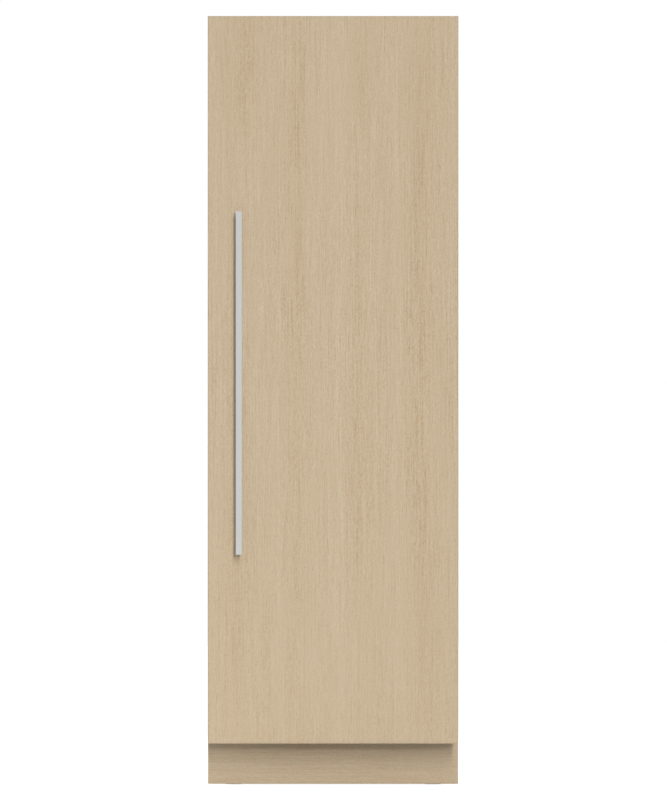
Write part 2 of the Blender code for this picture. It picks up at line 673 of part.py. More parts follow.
def feet_and_rollers():
    moving = {}
    for side, label in ((-1, "left"), (1, "right")):
        x = side * SUPPORT_X
        foot = turned(
            f"levelling_foot_{label}",
            [(FOOT_PAD_RADIUS - EMBED, 0), (FOOT_PAD_RADIUS, EMBED),
             (FOOT_PAD_RADIUS, FOOT_PAD_HEIGHT - EMBED), (FOOT_STUD_RADIUS * 2, FOOT_PAD_HEIGHT),
             (FOOT_STUD_RADIUS, FOOT_PAD_HEIGHT + EMBED),
             (FOOT_STUD_RADIUS, BASE_FLOOR + FOOT_STUD_ABOVE)],
            (x, FOOT_Y), "Z", "zinc_steel", sides=16,
        )
        shade_round(foot)
        axle_end = ROLLER_WIDTH / 2 + ROLLER_SIDE_GAP + ROLLER_EAR
        wheel = ROLLER_WIDTH / 2
        roller = turned(
            f"rear_roller_{label}",
            [(ROLLER_AXLE_RADIUS, x - axle_end), (ROLLER_AXLE_RADIUS, x - wheel),
             (ROLLER_RADIUS - EMBED, x - wheel), (ROLLER_RADIUS, x - wheel + EMBED),
             (ROLLER_RADIUS, x + wheel - EMBED), (ROLLER_RADIUS - EMBED, x + wheel),
             (ROLLER_AXLE_RADIUS, x + wheel), (ROLLER_AXLE_RADIUS, x + axle_end)],
            (ROLLER_Y, ROLLER_RADIUS), "X", "black_plastic", sides=24,
        )
        shade_round(roller)
        moving[f"levelling_foot_{label}"] = ((x, FOOT_Y, 0), [foot])
        moving[f"rear_roller_{label}"] = ((x, ROLLER_Y, ROLLER_RADIUS), [roller])
    return moving


def kick_board():
    """Wood kick board on a slotted plastic air grille."""
    board = block("toe_kick_panel", both(PANEL_HALF), (KICK_FRONT, KICK_BACK),
                  (KICK_FLOOR_GAP, KICK_SPACE + KICK_TOP_LAP),
                  "wood_veneer")
    ease_edges(board, EASED)
    grille = block("base_grille", both(GRILLE_HALF), (GRILLE_FRONT, GRILLE_BACK),
                   (GRILLE_BOTTOM, KICK_SPACE), "black_plastic")
    middle = (GRILLE_SLOTS - 1) / 2
    through = (GRILLE_FRONT - OVERRUN, GRILLE_BACK + OVERRUN)
    heights = (GRILLE_BOTTOM + GRILLE_RIM, KICK_SPACE - GRILLE_RIM)
    slots = [(around((i - middle) * GRILLE_SLOT_PITCH, GRILLE_SLOT_WIDTH), through, heights)
             for i in range(GRILLE_SLOTS)]
    cut(grille, blocks("grille_slots", slots))


def compressor_feet():
    return [(COMPRESSOR_X + i * COMPRESSOR_FOOT_X, COMPRESSOR_Y + j * COMPRESSOR_FOOT_Y)
            for i in (-1, 1) for j in (-1, 1)]


def compressor():
    """Sealed compressor on its foot plate, with its terminal box."""
    base_z = COMPRESSOR_BASE
    r = COMPRESSOR_RADIUS
    low = base_z + COMPRESSOR_PLATE - EMBED
    rise = base_z + COMPRESSOR_HEIGHT - low
    profile = [(r * radius_share, low + rise * height_share) for radius_share, height_share in SHELL_SHARES]
    pump = turned("compressor", profile, (COMPRESSOR_X, COMPRESSOR_Y), "Z", "black_steel", sides=24)
    shade_round(pump)
    margin = MOUNT_RADIUS
    join(
        pump,
        block("compressor_plate", around(COMPRESSOR_X, 2 * (COMPRESSOR_FOOT_X + margin)),
              around(COMPRESSOR_Y, 2 * (COMPRESSOR_FOOT_Y + margin)), (base_z, base_z + COMPRESSOR_PLATE)),
        block("terminal_box", around(COMPRESSOR_X - r, TERMINAL_BOX), around(COMPRESSOR_Y, 2 * TERMINAL_BOX),
              around(base_z + COMPRESSOR_HEIGHT * TERMINAL_HEIGHT_SHARE, 2 * TERMINAL_BOX)),
    )
    tray_z = base_z + COMPRESSOR_HEIGHT + CLEAR
    tray = block("drip_tray", around(COMPRESSOR_X, DRIP_TRAY_X), around(COMPRESSOR_Y, DRIP_TRAY_Y),
                 (tray_z, tray_z + DRIP_TRAY_HEIGHT), "black_plastic")
    cut(tray, block("drip_tray_inside", around(COMPRESSOR_X, DRIP_TRAY_X - 2 * DRIP_TRAY_WALL),
                    around(COMPRESSOR_Y, DRIP_TRAY_Y - 2 * DRIP_TRAY_WALL),
                    (tray_z + DRIP_TRAY_WALL, tray_z + DRIP_TRAY_HEIGHT + OVERRUN)))


def fin_outline(width, height, count):
    """Fins standing out of both sides of a core, as points across the width and up the height."""
    core = width * CORE_SHARE / 2
    half = width / 2
    pitch = (height - FIN_THICKNESS) / (count - 1)
    right = []
    for i in range(count):
        low = i * pitch
        right += [(half, low), (half, low + FIN_THICKNESS)]
        if i < count - 1:
            right += [(core, low + FIN_THICKNESS), (core, low + pitch)]
    return right + [(-a, b) for a, b in reversed(right)]


def condenser():
    """Finned condenser beside the fan."""
    middle = sum(CONDENSER_Y) / 2
    floor = BASE_FLOOR + REST_HEIGHT + CLEAR
    outline = [(middle + a, floor + b)
               for a, b in fin_outline(CONDENSER_Y[1] - CONDENSER_Y[0], CONDENSER_HEIGHT, CONDENSER_FINS)]
    prism("condenser", outline, CONDENSER_X, "X", "fin_aluminium")


def fan_rotor(name, centre, axis, start, radius, hub, depth, slot):
    """Bladed rotor on a bored hub, with flat pitched blades."""
    hub_body = round_bar(name, centre, hub, (start, start + depth), axis, slot, sides=20)
    for i in range(BLADE_COUNT):
        bm = bmesh.new()
        reach = radius - hub / 2
        turn = math.radians(BLADE_PITCH)
        half_chord = (depth / 2 - BLADE_THICKNESS) / math.sin(turn)
        add_box(bm, (hub / 2, hub / 2 + reach), both(half_chord), both(BLADE_THICKNESS / 2))
        spin = math.radians(360 * i / BLADE_COUNT)
        for v in bm.verts:
            r, chord, thick = v.co
            across = chord * math.cos(turn) - thick * math.sin(turn)
            along = chord * math.sin(turn) + thick * math.cos(turn)
            a = centre[0] + r * math.cos(spin) - across * math.sin(spin)
            b = centre[1] + r * math.sin(spin) + across * math.cos(spin)
            t = start + depth / 2 + along
            v.co = {"X": (t, a, b), "Y": (a, t, b)}[axis]
        join(hub_body, add_mesh(f"{name}_blade_{i}", bm, None))
    cut(hub_body, round_bar(f"{name}_bore", centre, SPINDLE_RADIUS + CLEAR,
                            (start - OVERRUN, start + depth + OVERRUN), axis, sides=12))
    return hub_body


def condenser_fan():
    """Fan frame with its motor on four spokes, and the rotor on the motor's spindle."""
    frame = block("fan_shroud", (FAN_X, FAN_X + SHROUD_SHEET), around(FAN_Y, 2 * SHROUD_HALF_Y),
                  (BASE_FLOOR + CLEAR, BASE_FLOOR + SHROUD_HEIGHT), "black_plastic")
    cut(frame, round_bar("shroud_opening", (FAN_Y, FAN_Z), FAN_OPENING,
                         (FAN_X - OVERRUN, FAN_X + SHROUD_SHEET + OVERRUN), "X", sides=32))
    join(
        frame,
        block("spoke_across", (FAN_X, FAN_X + SHROUD_SHEET), around(FAN_Y, 2 * FAN_OPENING + 4 * EMBED),
              around(FAN_Z, SPOKE_WIDTH)),
        block("spoke_upright", (FAN_X, FAN_X + SHROUD_SHEET), around(FAN_Y, SPOKE_WIDTH),
              around(FAN_Z, 2 * FAN_OPENING + 4 * EMBED)),
        round_bar("fan_motor", (FAN_Y, FAN_Z), MOTOR_RADIUS,
                  (FAN_X - MOTOR_LENGTH, FAN_X + SHROUD_SHEET + EMBED), "X", sides=20),
    )
    rotor_start = FAN_X + SHROUD_SHEET + ROTOR_GAP
    join(frame, round_bar("fan_spindle", (FAN_Y, FAN_Z), SPINDLE_RADIUS,
                          (FAN_X, rotor_start + FAN_DEPTH + 2 * EMBED), "X", sides=12))
    rotor = fan_rotor("condenser_fan", (FAN_Y, FAN_Z), "X", rotor_start, FAN_BLADE_RADIUS, FAN_HUB_RADIUS,
                      FAN_DEPTH, "grey_plastic")
    return {"condenser_fan": ((rotor_start, FAN_Y, FAN_Z), [rotor])}


def machine_cover():
    """Slotted steel cover over the machine space, with the mains inlet in it."""
    span = (CASE_BACK + CLEAR, CASE_BACK + CLEAR + REAR_SHEET)
    cover = block("machine_cover", both(CASE_HALF), span, (CASE_BOTTOM, MACHINE_TOP - CLEAR), "zinc_steel")
    through = (span[0] - OVERRUN, span[1] + OVERRUN)
    middle = (COVER_SLOTS - 1) / 2
    slots = [
        (around(COVER_SLOT_X + (i - middle) * COVER_SLOT_PITCH, COVER_SLOT_WIDTH), through,
         around(CASE_BOTTOM + row, COVER_SLOT_HEIGHT))
        for row in COVER_ROWS for i in range(COVER_SLOTS)
    ]
    cut(cover, blocks("cover_slots", slots),
        block("inlet_hole", around(INLET_X, INLET_WIDTH), through, around(INLET_Z, INLET_HEIGHT)))
    # the inlet's body passes through the cover, and its flange bears on the inside
    flange_back = span[0] - CLEAR
    inlet = block("power_inlet", around(INLET_X, INLET_WIDTH - 2 * CLEAR), (span[0] - INLET_DEPTH, span[1]),
                  around(INLET_Z, INLET_HEIGHT - 2 * CLEAR), "black_plastic")
    join(inlet, block("inlet_flange", around(INLET_X, INLET_WIDTH + 2 * INLET_FLANGE),
                      (flange_back - INLET_WALL, flange_back),
                      around(INLET_Z, INLET_HEIGHT + 2 * INLET_FLANGE)))
    cut(inlet, block("inlet_socket", around(INLET_X, INLET_WIDTH / 2),
                     (span[0] - INLET_DEPTH / 2, span[1] + OVERRUN), around(INLET_Z, INLET_HEIGHT / 2)))


def cooling():
    """Air duct panel on the rear wall, with the evaporator and its fan behind it."""
    front = CAVITY_BACK - DUCT_DEPTH
    panel = block("air_duct_panel", both(DUCT_HALF), (front, CAVITY_BACK - CLEAR), (DUCT_BOTTOM, DUCT_TOP),
                  "duct_steel")
    through = (front - OVERRUN, front + DUCT_WALL + OVERRUN)
    vents = [
        (around(side * VENT_X, VENT_WIDTH), through, around(level - VENT_DROP, VENT_HEIGHT))
        for level in shelf_levels()[1:] + [DUCT_TOP] for side in (-1, 1)
    ]
    middle = (RETURN_SLOTS - 1) / 2
    vents += [
        (around((i - middle) * RETURN_SLOT_PITCH, RETURN_SLOT_WIDTH), through,
         around(EVAPORATOR_BOTTOM + EVAPORATOR_HEIGHT / 2, RETURN_SLOT_HEIGHT))
        for i in range(RETURN_SLOTS)
    ]
    cut(
        panel,
        block("duct_inside", both(DUCT_HALF - DUCT_WALL), (front + DUCT_WALL, CAVITY_BACK + OVERRUN),
              (DUCT_BOTTOM + DUCT_WALL, DUCT_TOP - DUCT_WALL)),
        blocks("duct_vents", vents),
    )
    join(panel, round_bar("air_motor", (0, AIR_FAN_Z), AIR_MOTOR_RADIUS,
                          (front + DUCT_WALL - EMBED, front + DUCT_WALL + AIR_MOTOR_LENGTH), "Y", sides=20))
    rotor_start = front + DUCT_WALL + AIR_MOTOR_LENGTH + AIR_ROTOR_GAP
    join(panel, round_bar("air_spindle", (0, AIR_FAN_Z), SPINDLE_RADIUS,
                          (front + DUCT_WALL, rotor_start + AIR_FAN_DEPTH + EMBED), "Y", sides=12))
    core = CAVITY_BACK - CLEAR - EVAPORATOR_DEPTH / 2
    outline = [(core + a, EVAPORATOR_BOTTOM + b)
               for a, b in fin_outline(EVAPORATOR_DEPTH, EVAPORATOR_HEIGHT, EVAPORATOR_FINS)]
    prism("evaporator", outline, both(EVAPORATOR_HALF), "X", "fin_aluminium")
    rotor = fan_rotor("evaporator_fan", (0, AIR_FAN_Z), "Y", rotor_start, AIR_FAN_RADIUS, AIR_FAN_HUB,
                      AIR_FAN_DEPTH, "grey_plastic")
    return {"evaporator_fan": ((0, rotor_start, AIR_FAN_Z), [rotor])}


def controls():
    """Ceiling console with push buttons in its front wall and a light cover underneath."""
    housing = block("control_housing", both(CONTROL_HALF), (CONTROL_FRONT, CONTROL_FRONT + CONTROL_DEPTH),
                    (CONTROL_BOTTOM, CAVITY_TOP - CLEAR), "grey_plastic")
    light_y = around(CONTROL_FRONT + CONTROL_DEPTH / 2, LIGHT_DEPTH)
    cut(
        housing,
        block("control_inside", both(CONTROL_HALF - CONTROL_WALL),
              (CONTROL_FRONT + CONTROL_WALL, CONTROL_FRONT + CONTROL_DEPTH - CONTROL_WALL),
              (CONTROL_BOTTOM + CONTROL_WALL, CAVITY_TOP + OVERRUN)),
        block("light_opening", both(LIGHT_HALF), light_y,
              (CONTROL_BOTTOM - OVERRUN, CONTROL_BOTTOM + OVERRUN)),
    )
    light_top = CONTROL_BOTTOM + CONTROL_WALL + LIGHT_PLATE
    cover = block("light_diffuser", both(LIGHT_HALF - CLEAR), (light_y[0] + CLEAR, light_y[1] - CLEAR),
                  (CONTROL_BOTTOM, light_top), "light_cover")
    join(cover, block("light_flange", both(LIGHT_HALF + LIGHT_FLANGE),
                      (light_y[0] - LIGHT_FLANGE, light_y[1] + LIGHT_FLANGE),
                      (CONTROL_BOTTOM + CONTROL_WALL + CLEAR, light_top)))
    moving = {}
    for i, label in enumerate(BUTTON_NAMES):
        x = BUTTON_X + (i - 1) * BUTTON_PITCH
        z = CONTROL_BOTTOM + CONTROL_HEIGHT / 2
        through = (CONTROL_FRONT - OVERRUN, CONTROL_FRONT + CONTROL_WALL + EMBED)
        cut(housing, round_bar(f"button_hole_{label}", (x, z), BUTTON_RADIUS + CLEAR, through, "Y", sides=20))
        front = CONTROL_FRONT - BUTTON_PROUD
        inside = CONTROL_FRONT + CONTROL_WALL + CLEAR
        button = turned(
            f"button_{label}",
            [(BUTTON_RADIUS - EASED, front), (BUTTON_RADIUS, front + EASED), (BUTTON_RADIUS, inside),
             (BUTTON_RADIUS + BUTTON_FLANGE, inside), (BUTTON_RADIUS + BUTTON_FLANGE, inside + BUTTON_FLANGE),
             (BUTTON_RADIUS / 2, inside + BUTTON_FLANGE), (BUTTON_RADIUS / 2, front + BUTTON_LENGTH)],
            (x, z), "Y", "trim_metal", sides=20,
        )
        shade_round(button)
        moving[f"button_{label}"] = ((x, front, z), [button])
    return moving


def shelves():
    """Each shelf is a glass plate let into a frame that lies on the liner's ledges."""
    for i, level in enumerate(shelf_levels()):
        label = "crisper_cover" if i == 0 else f"shelf_{i}"
        low = level + CLEAR
        frame = block(f"{label}_frame", both(SHELF_HALF), (STORAGE_FRONT, STORAGE_BACK),
                      (low, low + FRAME_HEIGHT), "grey_plastic")
        # the front rail hangs in front of the ledges
        join(frame, block(f"{label}_trim", both(SHELF_HALF),
                          (STORAGE_FRONT - FRONT_TRIM_DEPTH, STORAGE_FRONT + EMBED),
                          (low + FRAME_HEIGHT - FRONT_TRIM, low + FRAME_HEIGHT)))
        window = SHELF_HALF - FRAME_RAIL
        rails = (STORAGE_FRONT + FRAME_RAIL / 2, STORAGE_BACK - FRAME_RAIL)
        glass_low = low + FRAME_HEIGHT - GLASS_THICKNESS
        seat = (rails[0] - GLASS_SEAT, rails[1] + GLASS_SEAT)
        cut(
            frame,
            block(f"{label}_window", both(window), rails, (low - OVERRUN, low + FRAME_HEIGHT + OVERRUN)),
            block(f"{label}_rebate", both(window + GLASS_SEAT), seat,
                  (glass_low - CLEAR, low + FRAME_HEIGHT + OVERRUN)),
        )
        block(f"{label}_glass", both(window + GLASS_SEAT - CLEAR), (seat[0] + CLEAR, seat[1] - CLEAR),
              (glass_low, low + FRAME_HEIGHT), "shelf_glass")


def drawers():
    """Clear tubs that hang by their rims on the liner's ledges, each with a front and its pull."""
    moving = {}
    for name, ledge, back, drop in zip(DRAWER_NAMES, DRAWER_RIMS, DRAWER_BACKS, DRAWER_DROPS):
        tub_front = STORAGE_FRONT + DRAWER_FRONT + CLEAR
        bottom = ledge - drop
        top = ledge + DRAWER_ABOVE_RIM
        tub = block(f"{name}_crisper_tub", both(DRAWER_HALF), (tub_front, back), (bottom, top),
                    "clear_plastic")
        join(tub, block(f"{name}_rim", both(DRAWER_RIM_HALF), (tub_front + DRAWER_WALL, back - DRAWER_WALL),
                        (ledge + CLEAR, ledge + CLEAR + DRAWER_RIM_HEIGHT)))
        cut(tub, block(f"{name}_inside", both(DRAWER_HALF - DRAWER_WALL),
                       (tub_front + DRAWER_WALL, back - DRAWER_WALL), (bottom + DRAWER_WALL, top + OVERRUN)))
        front = block(f"{name}_crisper_front", both(DRAWER_RIM_HALF),
                      (STORAGE_FRONT, STORAGE_FRONT + DRAWER_FRONT), (bottom - EMBED, top), "liner_plastic")
        # a hollow along the top edge for the fingers
        cut(front, prism(
            f"{name}_pull_hollow",
            [(STORAGE_FRONT - OVERRUN, top - DRAWER_PULL),
             (STORAGE_FRONT + DRAWER_FRONT / 2, top - DRAWER_PULL),
             (STORAGE_FRONT + DRAWER_FRONT / 2, top - DRAWER_PULL / 3),
             (STORAGE_FRONT - OVERRUN, top - DRAWER_PULL / 3)],
            both(DRAWER_RIM_HALF / 2), "X"))
        moving[f"{name}_crisper"] = ((0, STORAGE_FRONT, ledge), [tub, front])
    return moving


def door_body():
    """Steel skin, foam and moulded liner of the insulated door, with the seal round its back."""
    plate_front = DOOR_BACK - DOOR_LINER_WALL
    skin_back = plate_front - CLEAR
    skin = block("door_skin", both(DOOR_HALF), (SKIN_FRONT, skin_back), (DOOR_BOTTOM, DOOR_TOP), "zinc_steel")
    inside = both(DOOR_HALF - DOOR_SHEET)
    cut(skin, block("skin_inside", inside, (SKIN_FRONT + DOOR_SHEET, skin_back + OVERRUN),
                    (DOOR_BOTTOM + DOOR_SHEET, DOOR_TOP - DOOR_SHEET)))
    foam = block("door_foam", both(DOOR_HALF - DOOR_SHEET - CLEAR),
                 (SKIN_FRONT + DOOR_SHEET + CLEAR, skin_back),
                 (DOOR_BOTTOM + DOOR_SHEET + CLEAR, DOOR_TOP - DOOR_SHEET - CLEAR), "foam")
    plate = block("door_liner", both(DOOR_HALF), (plate_front, DOOR_BACK), (DOOR_BOTTOM, DOOR_TOP),
                  "liner_plastic")
    for side, label in ((-1, "left"), (1, "right")):
        outer = side * DIKE_OUTER
        inner = side * (DIKE_OUTER - DIKE_WIDTH)
        join(plate, block(f"dike_{label}", sorted((outer, inner)),
                          (plate_front + EMBED / 2, DOOR_BACK + DIKE_DEPTH), (DIKE_BOTTOM, DIKE_TOP)))
        cut(plate, block(f"dike_hollow_{label}",
                         sorted((outer - side * DOOR_LINER_WALL, inner + side * DOOR_LINER_WALL)),
                         (plate_front - OVERRUN, DOOR_BACK + DIKE_DEPTH - DOOR_LINER_WALL),
                         (DIKE_BOTTOM + DOOR_LINER_WALL, DIKE_TOP - DOOR_LINER_WALL)))
        lugs = [
            (sorted((inner - side * LUG_REACH, inner + side * EMBED)),
             (DOOR_BACK + LUG_START, DOOR_BACK + LUG_START + LUG_LENGTH),
             (lug_top(i) - LUG_HEIGHT, lug_top(i)))
            for i in range(BIN_COUNT)
        ]
        join(plate, blocks(f"bin_lugs_{label}", lugs))
    gasket_half = DOOR_HALF - GASKET_INSET
    gasket_z = (DOOR_BOTTOM + GASKET_BOTTOM_INSET, DOOR_TOP - GASKET_INSET)
    span = (DOOR_BACK + CLEAR, CASE_FRONT - CLEAR)
    seal = block("door_gasket", both(gasket_half), span, gasket_z, "gasket_rubber")
    cut(seal, block("gasket_window", both(gasket_half - GASKET_WIDTH), (span[0] - OVERRUN, span[1] + OVERRUN),
                    (gasket_z[0] + GASKET_WIDTH, gasket_z[1] - GASKET_WIDTH)))
    pieces = [skin, foam, plate, seal]
    ends = (("top", DOOR_TOP, 1), ("bottom", DOOR_BOTTOM, -1))
    for label, face, way in ends:
        pocket = sorted((face - way * BUSH_POCKET, face + way * OVERRUN))
        for piece in (skin, foam):
            radius = BUSH_RADIUS + CLEAR if piece is skin else BUSH_RADIUS + 2 * CLEAR
            cut(piece, round_bar(f"bush_pocket_{piece.name}_{label}", (PIN_X, PIN_Y), radius, pocket, "Z",
                                 sides=20))
        start = face + way * CLEAR
        bush = turned(
            f"hinge_bush_{label}",
            [(BUSH_RADIUS, face - way * BUSH_LENGTH), (BUSH_RADIUS, start), (BUSH_FLANGE, start),
             (BUSH_FLANGE, start + way * BUSH_FLANGE_HEIGHT)],
            (PIN_X, PIN_Y), "Z", "black_plastic", sides=20,
        )
        bore = sorted((face - way * (BUSH_LENGTH + OVERRUN), start + way * (BUSH_FLANGE_HEIGHT + OVERRUN)))
        cut(bush, round_bar(f"bush_bore_{label}", (PIN_X, PIN_Y), PIN_RADIUS + CLEAR,
                            bore, "Z", sides=20))
        pieces.append(bush)
    return pieces


def door_front():
    """Wood panel hung on the door by an angle at the top and one at the bottom, with its bar handle."""
    panel = block("door_panel", both(PANEL_HALF), (PANEL_FRONT, PANEL_BACK), (KICK_SPACE, OVERALL_HEIGHT),
                  "wood_veneer")
    ease_edges(panel, EASED)
    sheet = (PANEL_BACK + CLEAR, PANEL_BACK + CLEAR + BRACKET_SHEET)
    pieces = [panel]
    ends = (("top_hanger", DOOR_TOP, 1, HANGER_UPSTAND), ("bottom_bracket", DOOR_BOTTOM, -1, BRACKET_UPSTAND))
    for label, face, way, upstand in ends:
        on_door = face + way * CLEAR
        pieces.append(prism(
            f"panel_{label}",
            [(sheet[0], on_door - way * BRACKET_LEG), (sheet[0], on_door + way * upstand),
             (sheet[1], on_door + way * upstand), (sheet[1], on_door + way * BRACKET_SHEET),
             (SKIN_FRONT + BRACKET_LEG, on_door + way * BRACKET_SHEET), (SKIN_FRONT + BRACKET_LEG, on_door),
             (sheet[1], on_door), (sheet[1], on_door - way * BRACKET_LEG)],
            both(BRACKET_HALF), "X", "zinc_steel"))
    bar_front = PANEL_FRONT - HANDLE_REACH
    bar = block("handle_bar", around(HANDLE_X, HANDLE_WIDTH), (bar_front, bar_front + HANDLE_BAR_DEPTH),
                (HANDLE_BOTTOM, HANDLE_BOTTOM + HANDLE_LENGTH), "handle_metal")
    ease_edges(bar, EASED)
    pieces.append(bar)
    posts = (("lower", HANDLE_BOTTOM + POST_INSET), ("upper", HANDLE_BOTTOM + HANDLE_LENGTH - POST_INSET))
    for label, z in posts:
        pieces.append(block(f"handle_post_{label}", around(HANDLE_X, POST_SIZE),
                            (bar_front + HANDLE_BAR_DEPTH + CLEAR, PANEL_FRONT - CLEAR), around(z, POST_SIZE),
                            "handle_metal"))
    return pieces


def bin_bottom(i):
    return FIRST_BIN + i * BIN_PITCH


def lug_top(i):
    """Top face of the lugs that carry bin i."""
    return bin_bottom(i) + BIN_HEIGHT - BIN_EAR_DROP


def door_bins():
    """Clear bins that hook over lugs on the door liner."""
    moving = {}
    for i in range(BIN_COUNT):
        low = bin_bottom(i)
        near = DOOR_BACK + BIN_BACK_GAP
        tray = block(f"door_bin_{i + 1}", both(BIN_HALF), (near, near + BIN_DEPTH), (low, low + BIN_HEIGHT),
                     "clear_plastic")
        ear_low = lug_top(i) + CLEAR
        join(tray, block(f"bin_ears_{i + 1}", both(EAR_HALF),
                         (DOOR_BACK + LUG_START, DOOR_BACK + LUG_START + BIN_EAR_LENGTH),
                         (ear_low, ear_low + BIN_EAR_HEIGHT)))
        cut(tray, block(f"bin_inside_{i + 1}", both(BIN_HALF - BIN_WALL),
                        (near + BIN_WALL, near + BIN_DEPTH - BIN_WALL),
                        (low + BIN_WALL, low + BIN_HEIGHT + OVERRUN)))
        moving[f"door_bin_{i + 1}"] = ((0, near, low), [tray])
    return moving


def hinges():
    """Plates fixed to the casing above and below the door, each with a pin for the door's bush."""
    outline = arc((PIN_X, PIN_Y), PLATE_NOSE, 180, 360, 10) + [
        (PIN_X + PLATE_NECK, PIN_Y + PLATE_NOSE * PLATE_NECK_SHARE),
        (PIN_X + PLATE_NECK, CASE_FRONT),
        (CASE_HALF - PLATE_EDGE, CASE_FRONT + PLATE_EDGE),
        (CASE_HALF - PLATE_EDGE, CASE_FRONT + PLATE_BACK),
        (CASE_HALF - PLATE_WIDTH, CASE_FRONT + PLATE_BACK),
        (CASE_HALF - PLATE_WIDTH, CASE_FRONT),
    ]
    for label, seat, way in (("top", CASE_TOP, 1), ("bottom", RAIL_BOTTOM, -1)):
        inner = seat + way * CLEAR
        outer = inner + way * HINGE_PLATE
        plate = prism(f"{label}_hinge_plate", outline, sorted((inner, outer)), "Z", "zinc_steel")
        pin_end = inner - way * (HINGE_GAP + BUSH_LENGTH - 2 * EMBED)
        join(plate, round_bar(f"{label}_pin", (PIN_X, PIN_Y), PIN_RADIUS,
                              sorted((pin_end, outer - way * EMBED)), "Z", sides=20))


def tip_bracket():
    """Angle on the casing's top at the back, with an upstand to screw to the wall."""
    back = CASE_BACK + CLEAR + REAR_SHEET
    low = CASE_TOP + CLEAR
    bracket = prism(
        "anti_tip_bracket",
        [(back - TIP_LENGTH, low), (back, low), (back, OVERALL_HEIGHT), (back - TIP_SHEET, OVERALL_HEIGHT),
         (back - TIP_SHEET, low + TIP_SHEET), (back - TIP_LENGTH, low + TIP_SHEET)],
        both(TIP_WIDTH / 2), "X", "zinc_steel")
    hole_z = (low + TIP_SHEET + OVERALL_HEIGHT) / 2
    for side, label in ((-1, "left"), (1, "right")):
        cut(bracket, round_bar(f"tip_hole_{label}", (side * TIP_HOLE_SPACING / 2, hole_z), TIP_HOLE_RADIUS,
                               (back - TIP_SHEET - OVERRUN, back + OVERRUN), "Y", sides=16))


def hang_on_axes(moving):
    """Parents each moving group to an empty on its joint's axis."""
    for label, (place, pieces) in moving.items():
        pivot = bpy.data.objects.new(f"axis_{label}", None)
        bpy.context.scene.collection.objects.link(pivot)
        pivot.location = place
        bpy.context.view_layer.update()
        for piece in pieces:
            piece.parent = pivot
            piece.matrix_parent_inverse = pivot.matrix_world.inverted()


def main():
    clear_scene()
    casing()
    rear_sheets()
    liner()
    insulation()
    base()
    kick_board()
    compressor()
    condenser()
    machine_cover()
    shelves()
    hinges()
    tip_bracket()
    moving = {"door": ((PIN_X, PIN_Y, DOOR_BOTTOM), door_body() + door_front())}
    for group in (feet_and_rollers(), condenser_fan(), cooling(), controls(), drawers(), door_bins()):
        moving.update(group)
    hang_on_axes(moving)


main()
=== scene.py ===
import json
import math

import bpy
from mathutils import Matrix, Vector


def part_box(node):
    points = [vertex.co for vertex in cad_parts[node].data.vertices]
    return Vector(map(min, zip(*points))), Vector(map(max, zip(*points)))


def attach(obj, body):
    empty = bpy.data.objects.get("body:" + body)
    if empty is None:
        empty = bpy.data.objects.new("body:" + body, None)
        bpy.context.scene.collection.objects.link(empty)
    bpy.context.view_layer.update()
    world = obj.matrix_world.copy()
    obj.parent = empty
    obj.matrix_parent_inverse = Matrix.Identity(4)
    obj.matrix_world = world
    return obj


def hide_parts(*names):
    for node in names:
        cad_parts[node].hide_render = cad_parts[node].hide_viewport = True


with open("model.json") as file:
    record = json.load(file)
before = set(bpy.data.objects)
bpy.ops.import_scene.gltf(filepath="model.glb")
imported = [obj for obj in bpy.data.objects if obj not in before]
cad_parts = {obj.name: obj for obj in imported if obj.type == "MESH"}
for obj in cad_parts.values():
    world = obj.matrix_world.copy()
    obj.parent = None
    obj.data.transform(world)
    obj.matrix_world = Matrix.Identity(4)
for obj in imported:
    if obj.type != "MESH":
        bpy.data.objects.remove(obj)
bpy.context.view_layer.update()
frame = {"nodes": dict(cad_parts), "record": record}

# Places read from the fixed frame, in metres
PANEL_LOW, PANEL_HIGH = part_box("door_panel")
HANDLE_LOW, HANDLE_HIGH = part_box("handle_bar")
KICK_LOW, KICK_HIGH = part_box("toe_kick_panel")
CASING_LOW, CASING_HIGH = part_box("casing_shell")
REAR_LOW, REAR_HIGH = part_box("rear_panel")
COVER_LOW, COVER_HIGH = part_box("machine_cover")
LINER_LOW, LINER_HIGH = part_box("inner_liner")
DUCT_LOW, DUCT_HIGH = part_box("air_duct_panel")
TIP_LOW, TIP_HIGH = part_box("anti_tip_bracket")
INLET_LOW, INLET_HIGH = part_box("power_inlet")
LIGHT_LOW, LIGHT_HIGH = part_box("light_diffuser")
PANEL_WIDTH = PANEL_HIGH.x - PANEL_LOW.x
PANEL_HEIGHT = PANEL_HIGH.z - PANEL_LOW.z

# Sizes of the fine surface
TINY = 0.00005              # places closer than this are the same
FACES_ALONG = 0.9           # a normal's part along an axis, above which the face looks that way
SQUARE_ON = 0.999           # and above which it lies square to that axis
BAND_THICKNESS = 0.0022     # of the oak band round the door panel
BAND_ROUND = 0.0014
BAND_SEAM = 0.00008
BOARD_EDGE = 0.0004
HANDLE_EDGE = 0.0006
POST_EDGE = 0.0008
LINER_EDGE = 0.0009
SHEET_EDGE = 0.0004
SEAL_EDGE = 0.0030
PIN_EDGE = 0.0004
SMOOTH_ANGLE = math.radians(40)
EASE_ANGLE = math.radians(50)
MERGE_ANGLE = math.radians(0.5)

# Liner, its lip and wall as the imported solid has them
LINER_LIP = 0.0115
LINER_WALL = 0.0025
LINER_CORNER = 0.012

# Pressed fields of the rear sheet
FIELD_MARGIN = 0.030
FIELD_SLOPE = 0.0030
FIELD_DEPTH = 0.0015
FIELD_CORNER = 0.020
FIELD_SLOPE_NORMALS = (0.5, 0.97)    # least and most of a slope's normal along the depth
FIELD_LEAST_SHARE = 0.15    # of the whole sheet, below which a face is part of a margin

